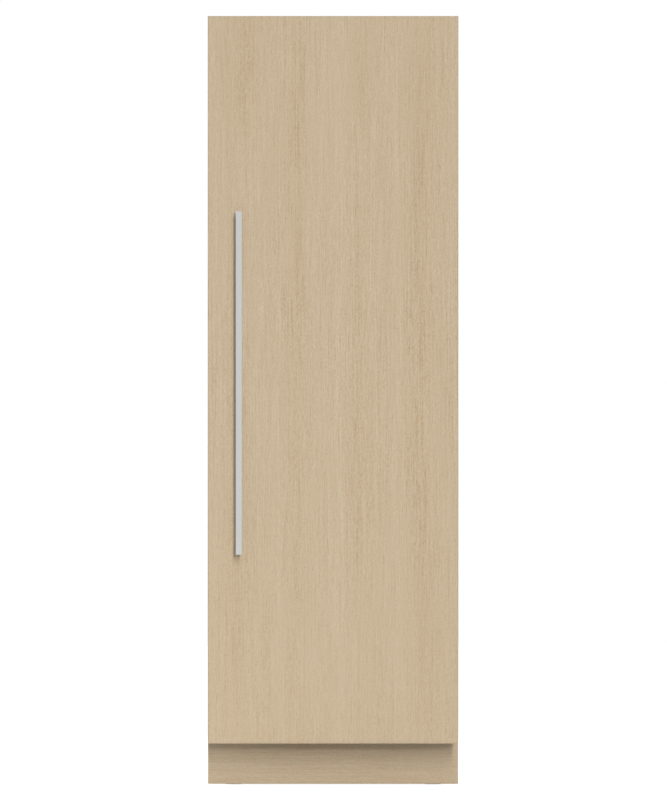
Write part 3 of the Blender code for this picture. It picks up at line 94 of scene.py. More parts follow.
# Slatted inserts behind the rear cover's two rows of slots
SLAT_SPANS = (              # bottom and top above the cover's lower edge
    ("lower", 0.021, 0.078),
    ("upper", 0.102, 0.168),
)
SLAT_LEFT = -0.103
SLAT_RIGHT = 0.143
SLAT_PITCH = 0.0075
SLAT_DEPTH = 0.0100
SLAT_DROP = 0.0085
SLAT_THICKNESS = 0.0010
SLAT_RIM = 0.0020
SLAT_GAP = 0.0002           # between insert and cover

# Screws
SCREW_RADIUS = 0.0038
SCREW_SIDES = 20
SCREW_TURN = math.radians(37)    # from one recess to the next
SCREW_HEIGHT = 0.0022
SCREW_DOME = 0.6            # share of the height that is rounded
SCREW_SINK = 0.0001         # of the head in its sheet
RECESS_LENGTH = 0.0044
RECESS_WIDTH = 0.0009
RECESS_DEPTH = 0.0012
SCREW_INSET = 0.011         # from the edge of a sheet

# Trim strips, the seal's grooves, the marks of the buttons, ribs under the light and pins in the inlet
TRIM_PROUD = 0.0005
TRIM_EDGE = 0.0002
BIN_TRIM_HEIGHT = 0.010
BIN_TRIM_DROP = 0.003       # of the strip's top below the rim
BIN_TRIM_INSET = 0.0080     # of its ends from the bin's sides
CRISPER_TRIM_HEIGHT = 0.005
CRISPER_TRIM_DROP = 0.001
SHELF_TRIM_HEIGHT = 0.012
SHELF_TRIM_DROP = 0.003
SEAL_LIP = 0.0040
SEAL_GROOVE = 0.0016
MARK_LENGTH = 0.0056
MARK_WIDTH = 0.0008
MARK_PROUD = 0.00015
MARK_SIDES = 32
RIB_WIDTH = 0.0024
RIB_PITCH = 0.0060
RIB_DROP = 0.0006
PIN_THICKNESS = 0.0022
PIN_WIDTH = 0.0042
PIN_LENGTH = 0.0115
PIN_DROP = 0.003            # pin's end behind the inlet's face
PIN_SHARES = (              # of the inlet's size, across and up from its middle
    (-0.14, 0.07),
    (0.14, 0.07),
    (0.0, -0.09),
)

# Places of screws, and faces that they bear on
HINGE_SCREWS = (            # in from the casing's side and front
    (0.020, 0.018),
    (0.066, 0.018),
    (0.020, 0.072),
    (0.066, 0.072),
)
BRACKET_SCREWS = (-0.8, -0.3, 0.3, 0.8)    # shares of a panel bracket's half width
WALL_SCREWS = (-0.7, 0, 0.7)               # of the wall bracket's
COVER_TOP_SCREWS = (-1, 1, -0.4, 0.4)      # of the width between the rear cover's screws
REAR_SCREW_STEPS = 6        # gaps between the screws down each side of the rear sheet
BRACKET_FACE = 0.0023       # outer face of a panel bracket from the door
TIP_SHEET = 0.003           # thickness of the wall bracket

# Camera and light
PHOTO_WIDTH = 667
PHOTO_HEIGHT = 800
PHOTO_CENTRE_X = 333.05     # middle of the refrigerator in the photograph
PHOTO_TOP = 16              # its top and bottom edges there
PHOTO_BOTTOM = 783.8
LENS = 1000
SENSOR = 36
CLIP_END = 200
WORLD_LIGHT = 0.35          # light from all round, where the white that the camera sees is 1
LAMP_RIGHT = math.radians(9.5)
LAMP_SPREAD = math.radians(6.5)
FILL_LAMPS = (              # place, power, and whether gloss shows the lamp
    ("left", (-3.6, 4.2, 3.2), 95, False),
    ("left_shown", (-3.6, 4.2, 3.2), 115, True),
    ("right_shown", (3.6, 4.2, 3.2), 55, True),
)
FILL_SIZE = 2.5
FRONT_LAMPS = (             # degrees above the floor, and strength
    (8.5, 0.78),
    (16, 0.33),
    (24, 0.43),
    (33, 0.285),
)
FLOOR_REACH = 60
FLOOR_TONE = (0.79, 0.79, 0.79, 1)     # of the floor that lights the refrigerator from below
FLOOR_WHITE = (0.90, 0.90, 0.90, 1)    # of the floor that the camera, metal and glass see
FLOOR_GLOW = 0.66                      # added to the latter

# Broad bands of the door veneer, all but the tone in shares of the panel: how far across from the left
# and down from the top, half width, half length, and tone, which is below zero where the band is darker
FIGURE_SHARES = (
    (0.145, 0.06, 0.062, 0.11, -0.139),
    (0.155, 0.06, 0.020, 0.09, -0.107),
    (0.075, 0.07, 0.030, 0.09, -0.115),
    (0.370, 0.09, 0.040, 0.12, -0.123),
    (0.355, 0.33, 0.024, 0.16, -0.148),
    (0.345, 0.60, 0.035, 0.18, -0.074),
    (0.620, 0.09, 0.035, 0.09, -0.115),
    (0.605, 0.38, 0.028, 0.14, -0.123),
    (0.595, 0.62, 0.040, 0.14, -0.115),
    (0.858, 0.15, 0.060, 0.20, -0.107),
    (0.840, 0.40, 0.038, 0.28, -0.139),
    (0.836, 0.66, 0.028, 0.10, -0.115),
    (0.870, 0.85, 0.055, 0.16, -0.098),
    (0.950, 0.52, 0.026, 0.08, -0.107),
    (0.120, 0.80, 0.050, 0.12, -0.098),
    (0.015, 0.51, 0.014, 0.05, -0.123),
    (0.035, 0.50, 0.020, 0.60, 0.055),
    # lighter band right of the handle: partly the veneer's own figure, partly painted light that offsets
    # the shade the handle casts there
    (0.162, 0.38, 0.024, 0.20, 0.115),
    (0.200, 0.28, 0.022, 0.20, 0.082),
    (0.230, 0.60, 0.040, 0.16, 0.057),
    (0.285, 0.78, 0.024, 0.28, 0.082),
    (0.470, 0.16, 0.055, 0.18, 0.074),
    (0.450, 0.72, 0.050, 0.30, 0.035),
    (0.525, 0.50, 0.020, 0.80, 0.107),
    (0.670, 0.25, 0.018, 0.25, 0.066),
    (0.755, 0.50, 0.022, 0.80, 0.082),
)

# How strong the fine grain is, at heights from the bottom of the door to its top
CRISPNESS_SHARES = (
    (0.10, (0.74, 0.74, 0.74, 1)),
    (0.36, (0.85, 0.85, 0.85, 1)),
    (0.54, (1.00, 1.00, 1.00, 1)),
    (0.80, (0.82, 0.82, 0.82, 1)),
)

# Oak veneer: its colours on a screen from the darkest tone to the lightest, how much each pattern moves
# the tone, and how far the grain wanders and the bands' borders fray, in metres
OAK_COLOURS = (
    (0.00, (181, 156, 126)),
    (0.25, (193, 171, 140.5)),
    (0.50, (200.5, 180.3, 150.8)),
    (0.75, (205.5, 187.3, 159)),
    (1.00, (209.5, 193.5, 167)),
)
FIBRE_DEPTH = 1.12
FLECK_DEPTH = 0.98
GRAIN_DEPTH = 1.03
CLOUD_DEPTH = 0.19
STREAK_DEPTH = 0.14
PORE_DEPTH = 0.12
DRIFT_REACH = (0.010, 0.010, 0.010)
FRAY_REACH = (0.050, 0.0, 0.160)


# Finishes

def screen_colour(red, green, blue):
    """A colour as it looks on a screen, 0 to 255, turned into the linear light that a shader reads."""
    linear = []
    for part in (red, green, blue):
        share = part / 255
        linear.append(share / 12.92 if share <= 0.04045 else ((share + 0.055) / 1.055) ** 2.4)
    return (*linear, 1)


class Finish:
    """A material whose pattern is built from the piece's own coordinates."""

    def __init__(self, name, **sockets):
        self.material = bpy.data.materials.new(name)
        self.material.use_nodes = True
        self.tree = self.material.node_tree
        self.shader = self.tree.nodes["Principled BSDF"]
        for socket, value in sockets.items():
            self.shader.inputs[socket.replace("_", " ")].default_value = value
        self.place = self.tree.nodes.new("ShaderNodeTexCoord").outputs["Object"]

    def node(self, kind, values, output=0, **settings):
        """Adds a node, sets or links its inputs, and gives back one of its outputs."""
        made = self.tree.nodes.new(kind)
        for key, value in settings.items():
            setattr(made, key, value)
        for key, value in values.items():
            if isinstance(value, bpy.types.NodeSocket):
                self.tree.links.new(value, made.inputs[key])
            else:
                made.inputs[key].default_value = value
        return made.outputs[output]

    def maths(self, operation, *values):
        return self.node("ShaderNodeMath", dict(enumerate(values)), operation=operation)

    def noise(self, scale, detail=2.0, roughness=0.5, place=None):
        """Noise with its own scale along each axis, per metre."""
        spread = self.node("ShaderNodeMapping", {"Vector": place or self.place, "Scale": scale})
        return self.node("ShaderNodeTexNoise", {"Vector": spread, "Scale": 1.0, "Detail": detail,
                                                "Roughness": roughness})

    def cells(self, scale, output="Color"):
        spread = self.node("ShaderNodeMapping", {"Vector": self.place, "Scale": scale})
        return self.node("ShaderNodeTexVoronoi", {"Vector": spread, "Scale": 1.0}, output)

    def ramp(self, factor, stops):
        """Colours from a factor. Each stop is a place from 0 to 1 and a colour."""
        made = self.tree.nodes.new("ShaderNodeValToRGB")
        self.tree.links.new(factor, made.inputs["Fac"])
        marks = made.color_ramp.elements
        while len(marks) < len(stops):
            marks.new(0.5)
        for mark, (place, colour) in zip(marks, stops):
            mark.position = place
            mark.color = colour
        return made.outputs["Color"]

    def between(self, factor, low, high, start=0.0, end=1.0):
        """A number that goes from low to high as factor goes from start to end."""
        return self.node("ShaderNodeMapRange", {"Value": factor, "From Min": start, "From Max": end,
                                                "To Min": low, "To Max": high})

    def drive(self, socket, source):
        self.tree.links.new(source, self.shader.inputs[socket])

    def tinge(self, factor, colour, start, end):
        """Colours the piece from one shade to another. Start and end are a factor and its shade each."""
        stops = [(place, shaded(colour, shade)) for place, shade in (start, end)]
        self.drive("Base Color", self.ramp(factor, stops))

    def relief(self, height, distance, strength=1.0):
        self.drive("Normal", self.node("ShaderNodeBump", {"Height": height, "Distance": distance,
                                                          "Strength": strength}))


def stretched(along, across, lengthwise):
    """A noise scale that is fine across the grain and long along it."""
    return tuple(lengthwise if axis == along else across for axis in "XYZ")


def shaded(colour, amount):
    """The colour made lighter or darker by a share."""
    return (*(min(1.0, part * (1 + amount)) for part in colour[:3]), 1)


def oak_veneer(name, along, figure=(), tint=0.0):
    """Pale oak with a matt lacquer. Its fibres, flecks and pores run along one axis."""
    made = Finish(name, Roughness=0.5, IOR=1.48)
    waver = made.noise(stretched(along, 6.0, 1.6), 1.0)
    drift = made.node("ShaderNodeVectorMath", {0: waver, 1: (0.5, 0.5, 0.5)}, operation="SUBTRACT")
    place = made.node("ShaderNodeVectorMath", {0: drift, 1: DRIFT_REACH, 2: made.place},
                      operation="MULTIPLY_ADD")
    ragged = made.noise(stretched(along, 260.0, 16.0), 2.0, place=place)
    fray = made.node("ShaderNodeVectorMath", {0: ragged, 1: (0.5, 0.5, 0.5)}, operation="SUBTRACT")
    banded = made.node("ShaderNodeVectorMath", {0: fray, 1: FRAY_REACH, 2: place},
                       operation="MULTIPLY_ADD")
    fibres = made.noise(stretched(along, 430.0, 5.0), 2.0, 0.6, place)
    flecks = made.noise(stretched(along, 460.0, 45.0), 2.0, 0.6, place)
    grain = made.noise(stretched(along, 420.0, 190.0), 1.0, 0.5, place)
    pores = made.noise(stretched(along, 1100.0, 42.0), 2.0, 0.5, place)
    open_pores = made.between(pores, 0.0, 1.0, 0.60, 0.72)
    tone = 0.0
    for pattern, depth in ((fibres, FIBRE_DEPTH), (flecks, FLECK_DEPTH), (grain, GRAIN_DEPTH)):
        tone = made.maths("MULTIPLY_ADD", pattern, depth, made.maths("ADD", tone, -depth / 2))
    level = made.node("ShaderNodeSeparateXYZ", {0: made.place}, "Z")
    crispness = made.ramp(made.between(level, 0.0, 1.0, PANEL_LOW.z, PANEL_HIGH.z), CRISPNESS_SHARES)
    tone = made.maths("MULTIPLY_ADD", tone, crispness, 0.5)
    for pattern, depth in (
        (made.noise(stretched(along, 14.0, 0.5), 2.0, place=place), CLOUD_DEPTH),
        (made.noise(stretched(along, 75.0, 1.4), 2.0, place=place), STREAK_DEPTH),
    ):
        tone = made.maths("MULTIPLY_ADD", pattern, depth, made.maths("ADD", tone, -depth / 2))
    for across, down, half_width, half_length, depth in figure:
        scale = (1 / (half_width * PANEL_WIDTH), 0.0, 1 / (half_length * PANEL_HEIGHT))
        centre = (PANEL_LOW.x + across * PANEL_WIDTH, PANEL_HIGH.z - down * PANEL_HEIGHT)
        shift = (-centre[0] * scale[0], 0.0, -centre[1] * scale[2])
        inside = made.node("ShaderNodeVectorMath", {0: banded, 1: scale, 2: shift},
                           operation="MULTIPLY_ADD")
        reach = made.node("ShaderNodeVectorMath", {0: inside, 1: inside}, "Value", operation="DOT_PRODUCT")
        tone = made.maths("MULTIPLY_ADD", made.maths("POWER", 1 / math.e, reach), depth, tone)
    tone = made.maths("MULTIPLY_ADD", open_pores, -PORE_DEPTH, tone)
    stops = tuple((stop, shaded(screen_colour(*colour), tint)) for stop, colour in OAK_COLOURS)
    made.drive("Base Color", made.ramp(tone, stops))
    made.drive("Roughness", made.between(fibres, 0.56, 0.44, 0.3, 0.7))
    made.relief(open_pores, -0.00008, 0.5)
    return made.material


def brushed_metal(name, colour, roughness, along, metallic=1.0):
    """Metal ground in one direction."""
    made = Finish(name, Metallic=metallic)
    lines = made.noise(stretched(along, 3200.0, 14.0), 3.0, 0.6)
    cloud = made.noise((5.0, 5.0, 5.0), 2.0)
    mixed = made.maths("MULTIPLY_ADD", cloud, 0.35, made.maths("MULTIPLY", lines, 0.65))
    made.tinge(mixed, colour, (0.3, -0.05), (0.7, 0.05))
    made.drive("Roughness", made.between(lines, roughness - 0.06, roughness + 0.08, 0.3, 0.7))
    made.relief(lines, 0.00001, 0.4)
    return made.material


def painted_steel(name, colour, roughness):
    """Powder coat with a light orange peel, its tone and dullness varying a little in soft patches."""
    made = Finish(name, IOR=1.5)
    peel = made.noise((620.0, 620.0, 620.0), 2.0)
    cloud = made.noise((3.0, 3.0, 2.0), 4.0, 0.6)
    made.tinge(cloud, colour, (0.3, -0.05), (0.7, 0.04))
    made.drive("Roughness", made.between(cloud, roughness - 0.05, roughness + 0.07, 0.3, 0.7))
    made.relief(peel, 0.00003, 0.35)
    return made.material


def zinc_coated(name, colour, roughness):
    """Galvanised sheet with its crystal spangle."""
    made = Finish(name, Metallic=0.4)
    crystals = made.cells((95.0, 95.0, 95.0))
    cloud = made.noise((7.0, 7.0, 7.0), 3.0)
    mixed = made.maths("MULTIPLY_ADD", cloud, 0.5, made.maths("MULTIPLY", crystals, 0.5))
    made.tinge(mixed, colour, (0.2, -0.06), (0.8, 0.05))
    made.drive("Roughness", made.between(crystals, roughness - 0.08, roughness + 0.10))
    made.relief(made.noise((900.0, 900.0, 900.0), 1.0), 0.00001, 0.3)
    return made.material


def moulded_plastic(name, colour, roughness, grain=1800.0, depth=0.00002):
    """Plastic with the fine grain of its mould."""
    made = Finish(name, IOR=1.5)
    skin = made.noise((grain, grain, grain), 2.0, 0.6)
    cloud = made.noise((2.5, 2.5, 2.5), 1.0)
    made.tinge(cloud, colour, (0.1, -0.03), (0.9, 0.03))
    made.drive("Roughness", made.between(cloud, roughness - 0.06, roughness + 0.08, 0.1, 0.9))
    made.relief(skin, depth, 0.4)
    return made.material


def clear_material(name, colour, roughness, ior):
    """Glass or clear plastic, with faint flow lines and wiping marks."""
    made = Finish(name, Transmission_Weight=1.0, IOR=ior)
    flow = made.noise((30.0, 30.0, 6.0), 2.0)
    marks = made.noise((140.0, 22.0, 140.0), 3.0, 0.7)
    made.tinge(flow, colour, (0.3, -0.015), (0.7, 0.0))
    made.drive("Roughness", made.between(marks, roughness, roughness + 0.05, 0.45, 0.75))
    made.relief(flow, 0.0001, 0.15)
    return made.material


def soft_rubber(name, colour):
    made = Finish(name, Roughness=0.72, IOR=1.45)
    fine = made.noise((2400.0, 2400.0, 2400.0), 2.0)
    dust = made.noise((22.0, 22.0, 22.0), 4.0, 0.65)
    made.tinge(dust, colour, (0.35, 0.0), (0.75, 0.14))
    made.relief(fine, 0.00003, 0.5)
    return made.material


def rigid_foam(name, colour):
    made = Finish(name, Roughness=0.9)
    pits_and_shade = made.cells((420.0, 420.0, 420.0), "Distance")
    # colour darkest in the pits' hollows is painted shade; the same pattern also gives the pits their real
    # relief
    made.tinge(pits_and_shade, colour, (0.0, -0.22), (0.6, 0.0))
    made.relief(pits_and_shade, 0.0006, 0.6)
    return made.material


def lit_cover(name, colour, strength):
    """Milky cover with the light behind it."""
    made = Finish(name, Roughness=0.4, Emission_Strength=strength, Emission_Color=colour)
    cloud = made.noise((60.0, 9.0, 9.0), 2.0)
    made.tinge(cloud, colour, (0.3, -0.03), (0.7, 0.0))
    made.relief(made.noise((1500.0, 1500.0, 1500.0), 1.0), 0.00002, 0.3)
    return made.material


FINISHES = {
    "door_oak": oak_veneer("door_oak", "Z", FIGURE_SHARES),
    # the kick board's oak is the door oak made darker: painted shade for its place in the recess under the
    # door
    "kick_oak_painted_shade": oak_veneer("kick_oak_painted_shade", "X", tint=-0.08),
    "wood_veneer": oak_veneer("edge_oak", "Z"),
    "screw_zinc": brushed_metal("zinc_screw", (0.72, 0.72, 0.73, 1), 0.28, "Z"),
    "handle_metal": brushed_metal("handle_satin_steel", (0.577, 0.577, 0.571, 1), 0.34, "Z"),
    "case_paint": painted_steel("casing_grey_paint", (0.42, 0.43, 0.44, 1), 0.42),
    "zinc_steel": zinc_coated("zinc_sheet", (0.43, 0.44, 0.45, 1), 0.42),
    "liner_plastic": moulded_plastic("white_liner", (0.80, 0.81, 0.82, 1), 0.30),
    "duct_steel": brushed_metal("duct_brushed_steel", (0.56, 0.56, 0.56, 1), 0.32, "Z"),
    "trim_metal": brushed_metal("trim_satin_metal", (0.62, 0.62, 0.63, 1), 0.28, "X"),
    "clear_plastic": clear_material("clear_tub_plastic", (0.93, 0.96, 0.97, 1), 0.06, 1.49),
    "shelf_glass": clear_material("shelf_glass", (0.90, 0.97, 0.94, 1), 0.01, 1.52),
    "gasket_rubber": soft_rubber("seal_rubber", (0.35, 0.35, 0.36, 1)),
    "black_plastic": moulded_plastic("black_moulding", (0.02, 0.02, 0.02, 1), 0.48, 1200.0, 0.00004),
    "black_steel": painted_steel("black_shell_paint", (0.015, 0.015, 0.016, 1), 0.38),
    "fin_aluminium": brushed_metal("fin_aluminium", (0.65, 0.65, 0.66, 1), 0.35, "Z"),
    "foam": rigid_foam("yellow_foam", (0.80, 0.72, 0.45, 1)),
    "light_cover": lit_cover("milky_light_cover", (0.95, 0.95, 0.92, 1), 9.0),
    "grey_plastic": moulded_plastic("grey_moulding", (0.45, 0.46, 0.47, 1), 0.42),
}


# Modelling steps

def deselect_all():
    if bpy.context.mode != "OBJECT":
        bpy.ops.object.mode_set(mode="OBJECT")
    bpy.ops.object.select_all(action="DESELECT")


def take(piece):
    """Makes the piece the only selected and the active one."""
    deselect_all()
    piece.select_set(True)
    bpy.context.view_layer.objects.active = piece


def box_between(name, low, high):
    """A box between two corners, with its place in its mesh."""
    deselect_all()
    low = Vector(low)
    high = Vector(high)
    bpy.ops.mesh.primitive_cube_add(size=1, location=(low + high) / 2, scale=high - low)
    bpy.ops.object.transform_apply(location=True, rotation=True, scale=True)
    made = bpy.context.object
    made.name = name
    return made


def pick_faces(piece, wanted):
    """Goes into edit mode with only the wanted faces selected."""
    take(piece)
    bpy.ops.object.mode_set(mode="EDIT")
    bpy.ops.mesh.select_mode(type="FACE")
    bpy.ops.mesh.select_all(action="DESELECT")
    bpy.ops.object.mode_set(mode="OBJECT")
    for face in piece.data.polygons:
        face.select = bool(wanted(face))
    bpy.ops.object.mode_set(mode="EDIT")


def pick_edges(piece, wanted):
    """Goes into edit mode with only the wanted edges selected, told by their two ends."""
    take(piece)
    bpy.ops.object.mode_set(mode="EDIT")
    bpy.ops.mesh.select_mode(type="EDGE")
    bpy.ops.mesh.select_all(action="DESELECT")
    bpy.ops.object.mode_set(mode="OBJECT")
    points = piece.data.vertices
    for edge in piece.data.edges:
        ends = [points[i].co for i in edge.vertices]
        edge.select = bool(wanted(*ends))
    bpy.ops.object.mode_set(mode="EDIT")


def leave_edit():
    bpy.ops.object.mode_set(mode="OBJECT")


def apply_modifier(piece, kind, **settings):
    take(piece)
    bpy.ops.object.modifier_add(type=kind)
    added = piece.modifiers[-1]
    for key, value in settings.items():
        setattr(added, key, value)
    bpy.ops.object.modifier_apply(modifier=added.name)


def ease(piece, width, segments=2):
    """Rounds the edges that turn sharply."""
    apply_modifier(piece, "BEVEL", width=width, segments=segments, limit_method="ANGLE",
                   angle_limit=EASE_ANGLE)


def smooth(piece):
    """Rounded edges shade smoothly, and flats stay flat."""
    take(piece)
    bpy.ops.object.shade_smooth_by_angle(angle=SMOOTH_ANGLE)
    apply_modifier(piece, "WEIGHTED_NORMAL", keep_sharp=True)


def settle(piece, body, slot, finish=None, stands_for=()):
    """Gives the piece its finish and lets it ride on its body, for the nodes that it stands for."""
    smooth(piece)
    piece.data.materials.clear()
    piece.data.materials.append(FINISHES[finish or slot])
    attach(piece, body)
    if stands_for:
        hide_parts(*stands_for)
    return piece


def merged_copy(node, name):
    """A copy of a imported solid, its triangles merged back into whole faces."""
    made = bpy.data.objects.new(name, frame["nodes"][node].data.copy())
    bpy.context.scene.collection.objects.link(made)
    take(made)
    bpy.ops.object.mode_set(mode="EDIT")
    bpy.ops.mesh.select_all(action="SELECT")
    bpy.ops.mesh.remove_doubles(threshold=TINY)
    bpy.ops.mesh.dissolve_limited(angle_limit=MERGE_ANGLE)
    bpy.ops.object.mode_set(mode="OBJECT")
    return made


BODIES = frame["record"]["behaviour"]["bodies"]
BODY_OF = {node: body for body, nodes in BODIES.items() for node in nodes}
SLOT_OF = {subpart["node"]: subpart["material_slot"] for subpart in frame["record"]["subparts"]}
SHELVES = ("crisper_cover", "shelf_1", "shelf_2", "shelf_3", "shelf_4")
BINS = range(1, 5)


# Door front

def is_outer_edge(a, b):
    """Whether an edge of the panel's band lies on its outside, round the front or the back."""
    on_side = PANEL_HIGH.x - abs(a.x) < TINY and abs(a.x - b.x) < TINY
    on_end = min(abs(a.z - end) for end in (PANEL_LOW.z, PANEL_HIGH.z)) < TINY and abs(a.z - b.z) < TINY
    return (on_side or on_end) and abs(a.y - b.y) < TINY


def door_panel():
    """Veneered board inside a band of the same oak round its four edges, its outer edges rounded."""
    inset = Vector((BAND_THICKNESS + BAND_SEAM, 0, BAND_THICKNESS + BAND_SEAM))
    board = box_between("door_panel_board", PANEL_LOW + inset, PANEL_HIGH - inset)
    ease(board, BOARD_EDGE / 2, 1)
    settle(board, "door", "wood_veneer", "door_oak", ("door_panel",))
    band = box_between("door_panel_edge_band", PANEL_LOW, PANEL_HIGH)
    pick_faces(band, lambda face: abs(face.normal.y) > FACES_ALONG)
    bpy.ops.mesh.inset(thickness=BAND_THICKNESS)
    bpy.ops.mesh.bridge_edge_loops()
    leave_edit()
    pick_edges(band, is_outer_edge)
    bpy.ops.mesh.bevel(offset=BAND_ROUND, segments=4, affect="EDGES")
    leave_edit()
    settle(band, "door", "wood_veneer")


def handle():
    """Square satin bar on two square posts."""
    bar = box_between("handle_satin_bar", HANDLE_LOW, HANDLE_HIGH)
    ease(bar, HANDLE_EDGE, 3)
    settle(bar, "door", "handle_metal", stands_for=("handle_bar",))
    for label in ("lower", "upper"):
        node = f"handle_post_{label}"
        low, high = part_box(node)
        post = box_between(f"handle_square_post_{label}", low, high)
        ease(post, POST_EDGE, 2)
        settle(post, "door", "handle_metal", stands_for=(node,))


def kick_board():
    """Board of the same oak, its grain lying down, its colour made darker as painted shade."""
    board = box_between("kick_veneered_board", KICK_LOW, KICK_HIGH)
    ease(board, BOARD_EDGE, 2)
    settle(board, "cabinet", "wood_veneer", "kick_oak_painted_shade", ("toe_kick_panel",))


# Pieces with more work than an eased edge

def inner_liner():
    """Moulded liner, the corners of its back and the long edges of its floor well rounded."""
    made = merged_copy("inner_liner", "inner_liner_moulding")
    side = LINER_HIGH.x - LINER_LIP
    back = LINER_HIGH.y - LINER_WALL
    roof = LINER_HIGH.z - LINER_LIP
    ground = LINER_LOW.z + LINER_LIP

    def at(value, place):
        return abs(value - place) < TINY

    def is_corner(a, b):
        upright = at(abs(a.x), side) and at(a.x, b.x) and at(a.y, b.y) and at(a.y, back)
        crossing = at(a.z, b.z) and at(a.z, roof) and at(a.y, back) and at(b.y, back)
        below = at(abs(a.x), side) and at(a.x, b.x) and at(a.z, b.z) and at(a.z, ground)
        return upright or crossing or below

    pick_edges(made, is_corner)
    bpy.ops.mesh.bevel(offset=LINER_CORNER, segments=6, affect="EDGES")
    leave_edit()
    ease(made, LINER_EDGE, 2)
    settle(made, "cabinet", "liner_plastic", stands_for=("inner_liner",))


def is_field(face):
    """Whether the face is one of the rear sheet's three wide fields."""
    whole = (REAR_HIGH.x - REAR_LOW.x) * (REAR_HIGH.z - REAR_LOW.z)
    return face.normal.y > FACES_ALONG and face.area > whole * FIELD_LEAST_SHARE


def is_field_slope(face):
    """Whether the face is part of the slope round a field."""
    least, most = FIELD_SLOPE_NORMALS
    return least < face.normal.y < most


def rear_sheet():
    """Rear sheet with three shallow pressed fields one above the other."""
    made = merged_copy("rear_panel", "rear_pressed_sheet")
    height = REAR_HIGH.z - REAR_LOW.z
    for share in (1 / 3, 2 / 3):
        take(made)
        bpy.ops.object.mode_set(mode="EDIT")
        bpy.ops.mesh.select_all(action="SELECT")
        bpy.ops.mesh.bisect(plane_co=(0, 0, REAR_LOW.z + share * height), plane_no=(0, 0, 1))
        leave_edit()
    pick_faces(made, is_field)
    bpy.ops.mesh.inset(thickness=FIELD_MARGIN, use_individual=True)
    leave_edit()
    round_fields(made)
    pick_faces(made, is_field)
    bpy.ops.mesh.inset(thickness=FIELD_SLOPE, depth=-FIELD_DEPTH, use_individual=True)
    leave_edit()
    # the slopes keep crisp borders
    pick_faces(made, is_field_slope)
    bpy.ops.mesh.region_to_loop()
    bpy.ops.mesh.mark_sharp()
    leave_edit()
    ease(made, SHEET_EDGE, 1)
    settle(made, "cabinet", "zinc_steel", stands_for=("rear_panel",))


def round_fields(made):
    """Rounds the four corners of each field."""
    corners = {index for face in made.data.polygons if is_field(face) for index in face.vertices}
    take(made)
    bpy.ops.object.mode_set(mode="EDIT")
    bpy.ops.mesh.select_mode(type="VERT")
    bpy.ops.mesh.select_all(action="DESELECT")
    leave_edit()
    for index in corners:
        made.data.vertices[index].select = True
    bpy.ops.object.mode_set(mode="EDIT")
    bpy.ops.mesh.bevel(offset=FIELD_CORNER, segments=5, affect="VERTICES")
    leave_edit()


def door_seal():
    """Magnet seal with rounded edges and two fine grooves round its face."""
    made = merged_copy("door_gasket", "door_magnet_seal")
    ease(made, SEAL_EDGE, 3)
    pick_faces(made, lambda face: face.normal.y > SQUARE_ON)
    bpy.ops.mesh.inset(thickness=SEAL_LIP)
    bpy.ops.mesh.inset(thickness=SEAL_GROOVE, depth=-SEAL_GROOVE)
    bpy.ops.mesh.inset(thickness=SEAL_GROOVE, depth=SEAL_GROOVE)
    leave_edit()
    settle(made, "door", "gasket_rubber", stands_for=("door_gasket",))


def bin_trims():
    """Satin strip along the rim of each door bin."""
    for i in BINS:
        low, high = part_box(f"door_bin_{i}")
        half = (high.x - low.x) / 2 - BIN_TRIM_INSET
        top = high.z - BIN_TRIM_DROP
        strip = box_between(f"door_bin_{i}_trim", (-half, high.y - TRIM_PROUD, top - BIN_TRIM_HEIGHT),
                            (half, high.y + TRIM_PROUD, top))
        ease(strip, TRIM_EDGE, 2)
        settle(strip, f"door_bin_{i}", "trim_metal")


def crisper_trims():
    """Satin strip along the upper edge of each drawer's front, above its hollow."""
    for label in ("lower", "upper"):
        low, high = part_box(f"{label}_crisper_front")
        top = high.z - CRISPER_TRIM_DROP
        strip = box_between(f"{label}_crisper_trim",
                            (low.x, low.y - TRIM_PROUD, top - CRISPER_TRIM_HEIGHT),
                            (high.x, low.y + TRIM_PROUD, top))
        ease(strip, TRIM_EDGE, 2)
        settle(strip, f"{label}_crisper", "trim_metal")


def shelf_trims():
    """Satin strip on the front rail of each shelf."""
    for label in SHELVES:
        low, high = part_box(f"{label}_frame")
        top = high.z - SHELF_TRIM_DROP
        strip = box_between(f"{label}_trim", (low.x, low.y - TRIM_PROUD, top - SHELF_TRIM_HEIGHT),
                            (high.x, low.y + TRIM_PROUD, top))
        ease(strip, TRIM_EDGE, 2)
        settle(strip, "cabinet", "trim_metal")


def light_ribs():
    """Fine ribs across the underside of the light cover."""
    half = RIB_PITCH * round((LIGHT_HIGH.x - LIGHT_LOW.x) / 2 / RIB_PITCH - 2)
    depth = (LIGHT_HIGH.y - LIGHT_LOW.y) / 3
    middle = (LIGHT_HIGH.y + LIGHT_LOW.y) / 2
    rib = box_between("light_cover_ribs", (-half, middle - depth, LIGHT_LOW.z - RIB_DROP),
                      (RIB_WIDTH - half, middle + depth, LIGHT_LOW.z + TINY))
    apply_modifier(rib, "ARRAY", count=round(2 * half / RIB_PITCH) + 1, use_relative_offset=False,
                   use_constant_offset=True, constant_offset_displace=(RIB_PITCH, 0, 0))
    ease(rib, RIB_DROP / 3, 2)
    settle(rib, "cabinet", "light_cover")


def raised_bar(centre, across, up):
    """A fine raised bar on a face that looks to the front."""
    half = Vector((across, 2 * MARK_PROUD, up)) / 2
    return box_between("raised_bar", centre - half, centre + half)


def button_marks():
    """A bar, a cross, and a ring with a short bar, raised on the three buttons."""
    for label in ("colder", "warmer", "power"):
        low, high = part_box(f"button_{label}")
        centre = (low + high) / 2
        centre.y = low.y
        if label == "power":
            radius = MARK_LENGTH / 2
            upper = centre + Vector((0, 0, radius))
            bars = [raised_bar(upper, MARK_WIDTH, radius), ring("mark_ring", centre, radius)]
        else:
            bars = [raised_bar(centre, MARK_LENGTH, MARK_WIDTH)]
        if label == "warmer":
            bars.append(raised_bar(centre, MARK_WIDTH, MARK_LENGTH))
        settle(merged(bars, f"button_{label}_mark"), f"button_{label}", "black_plastic")


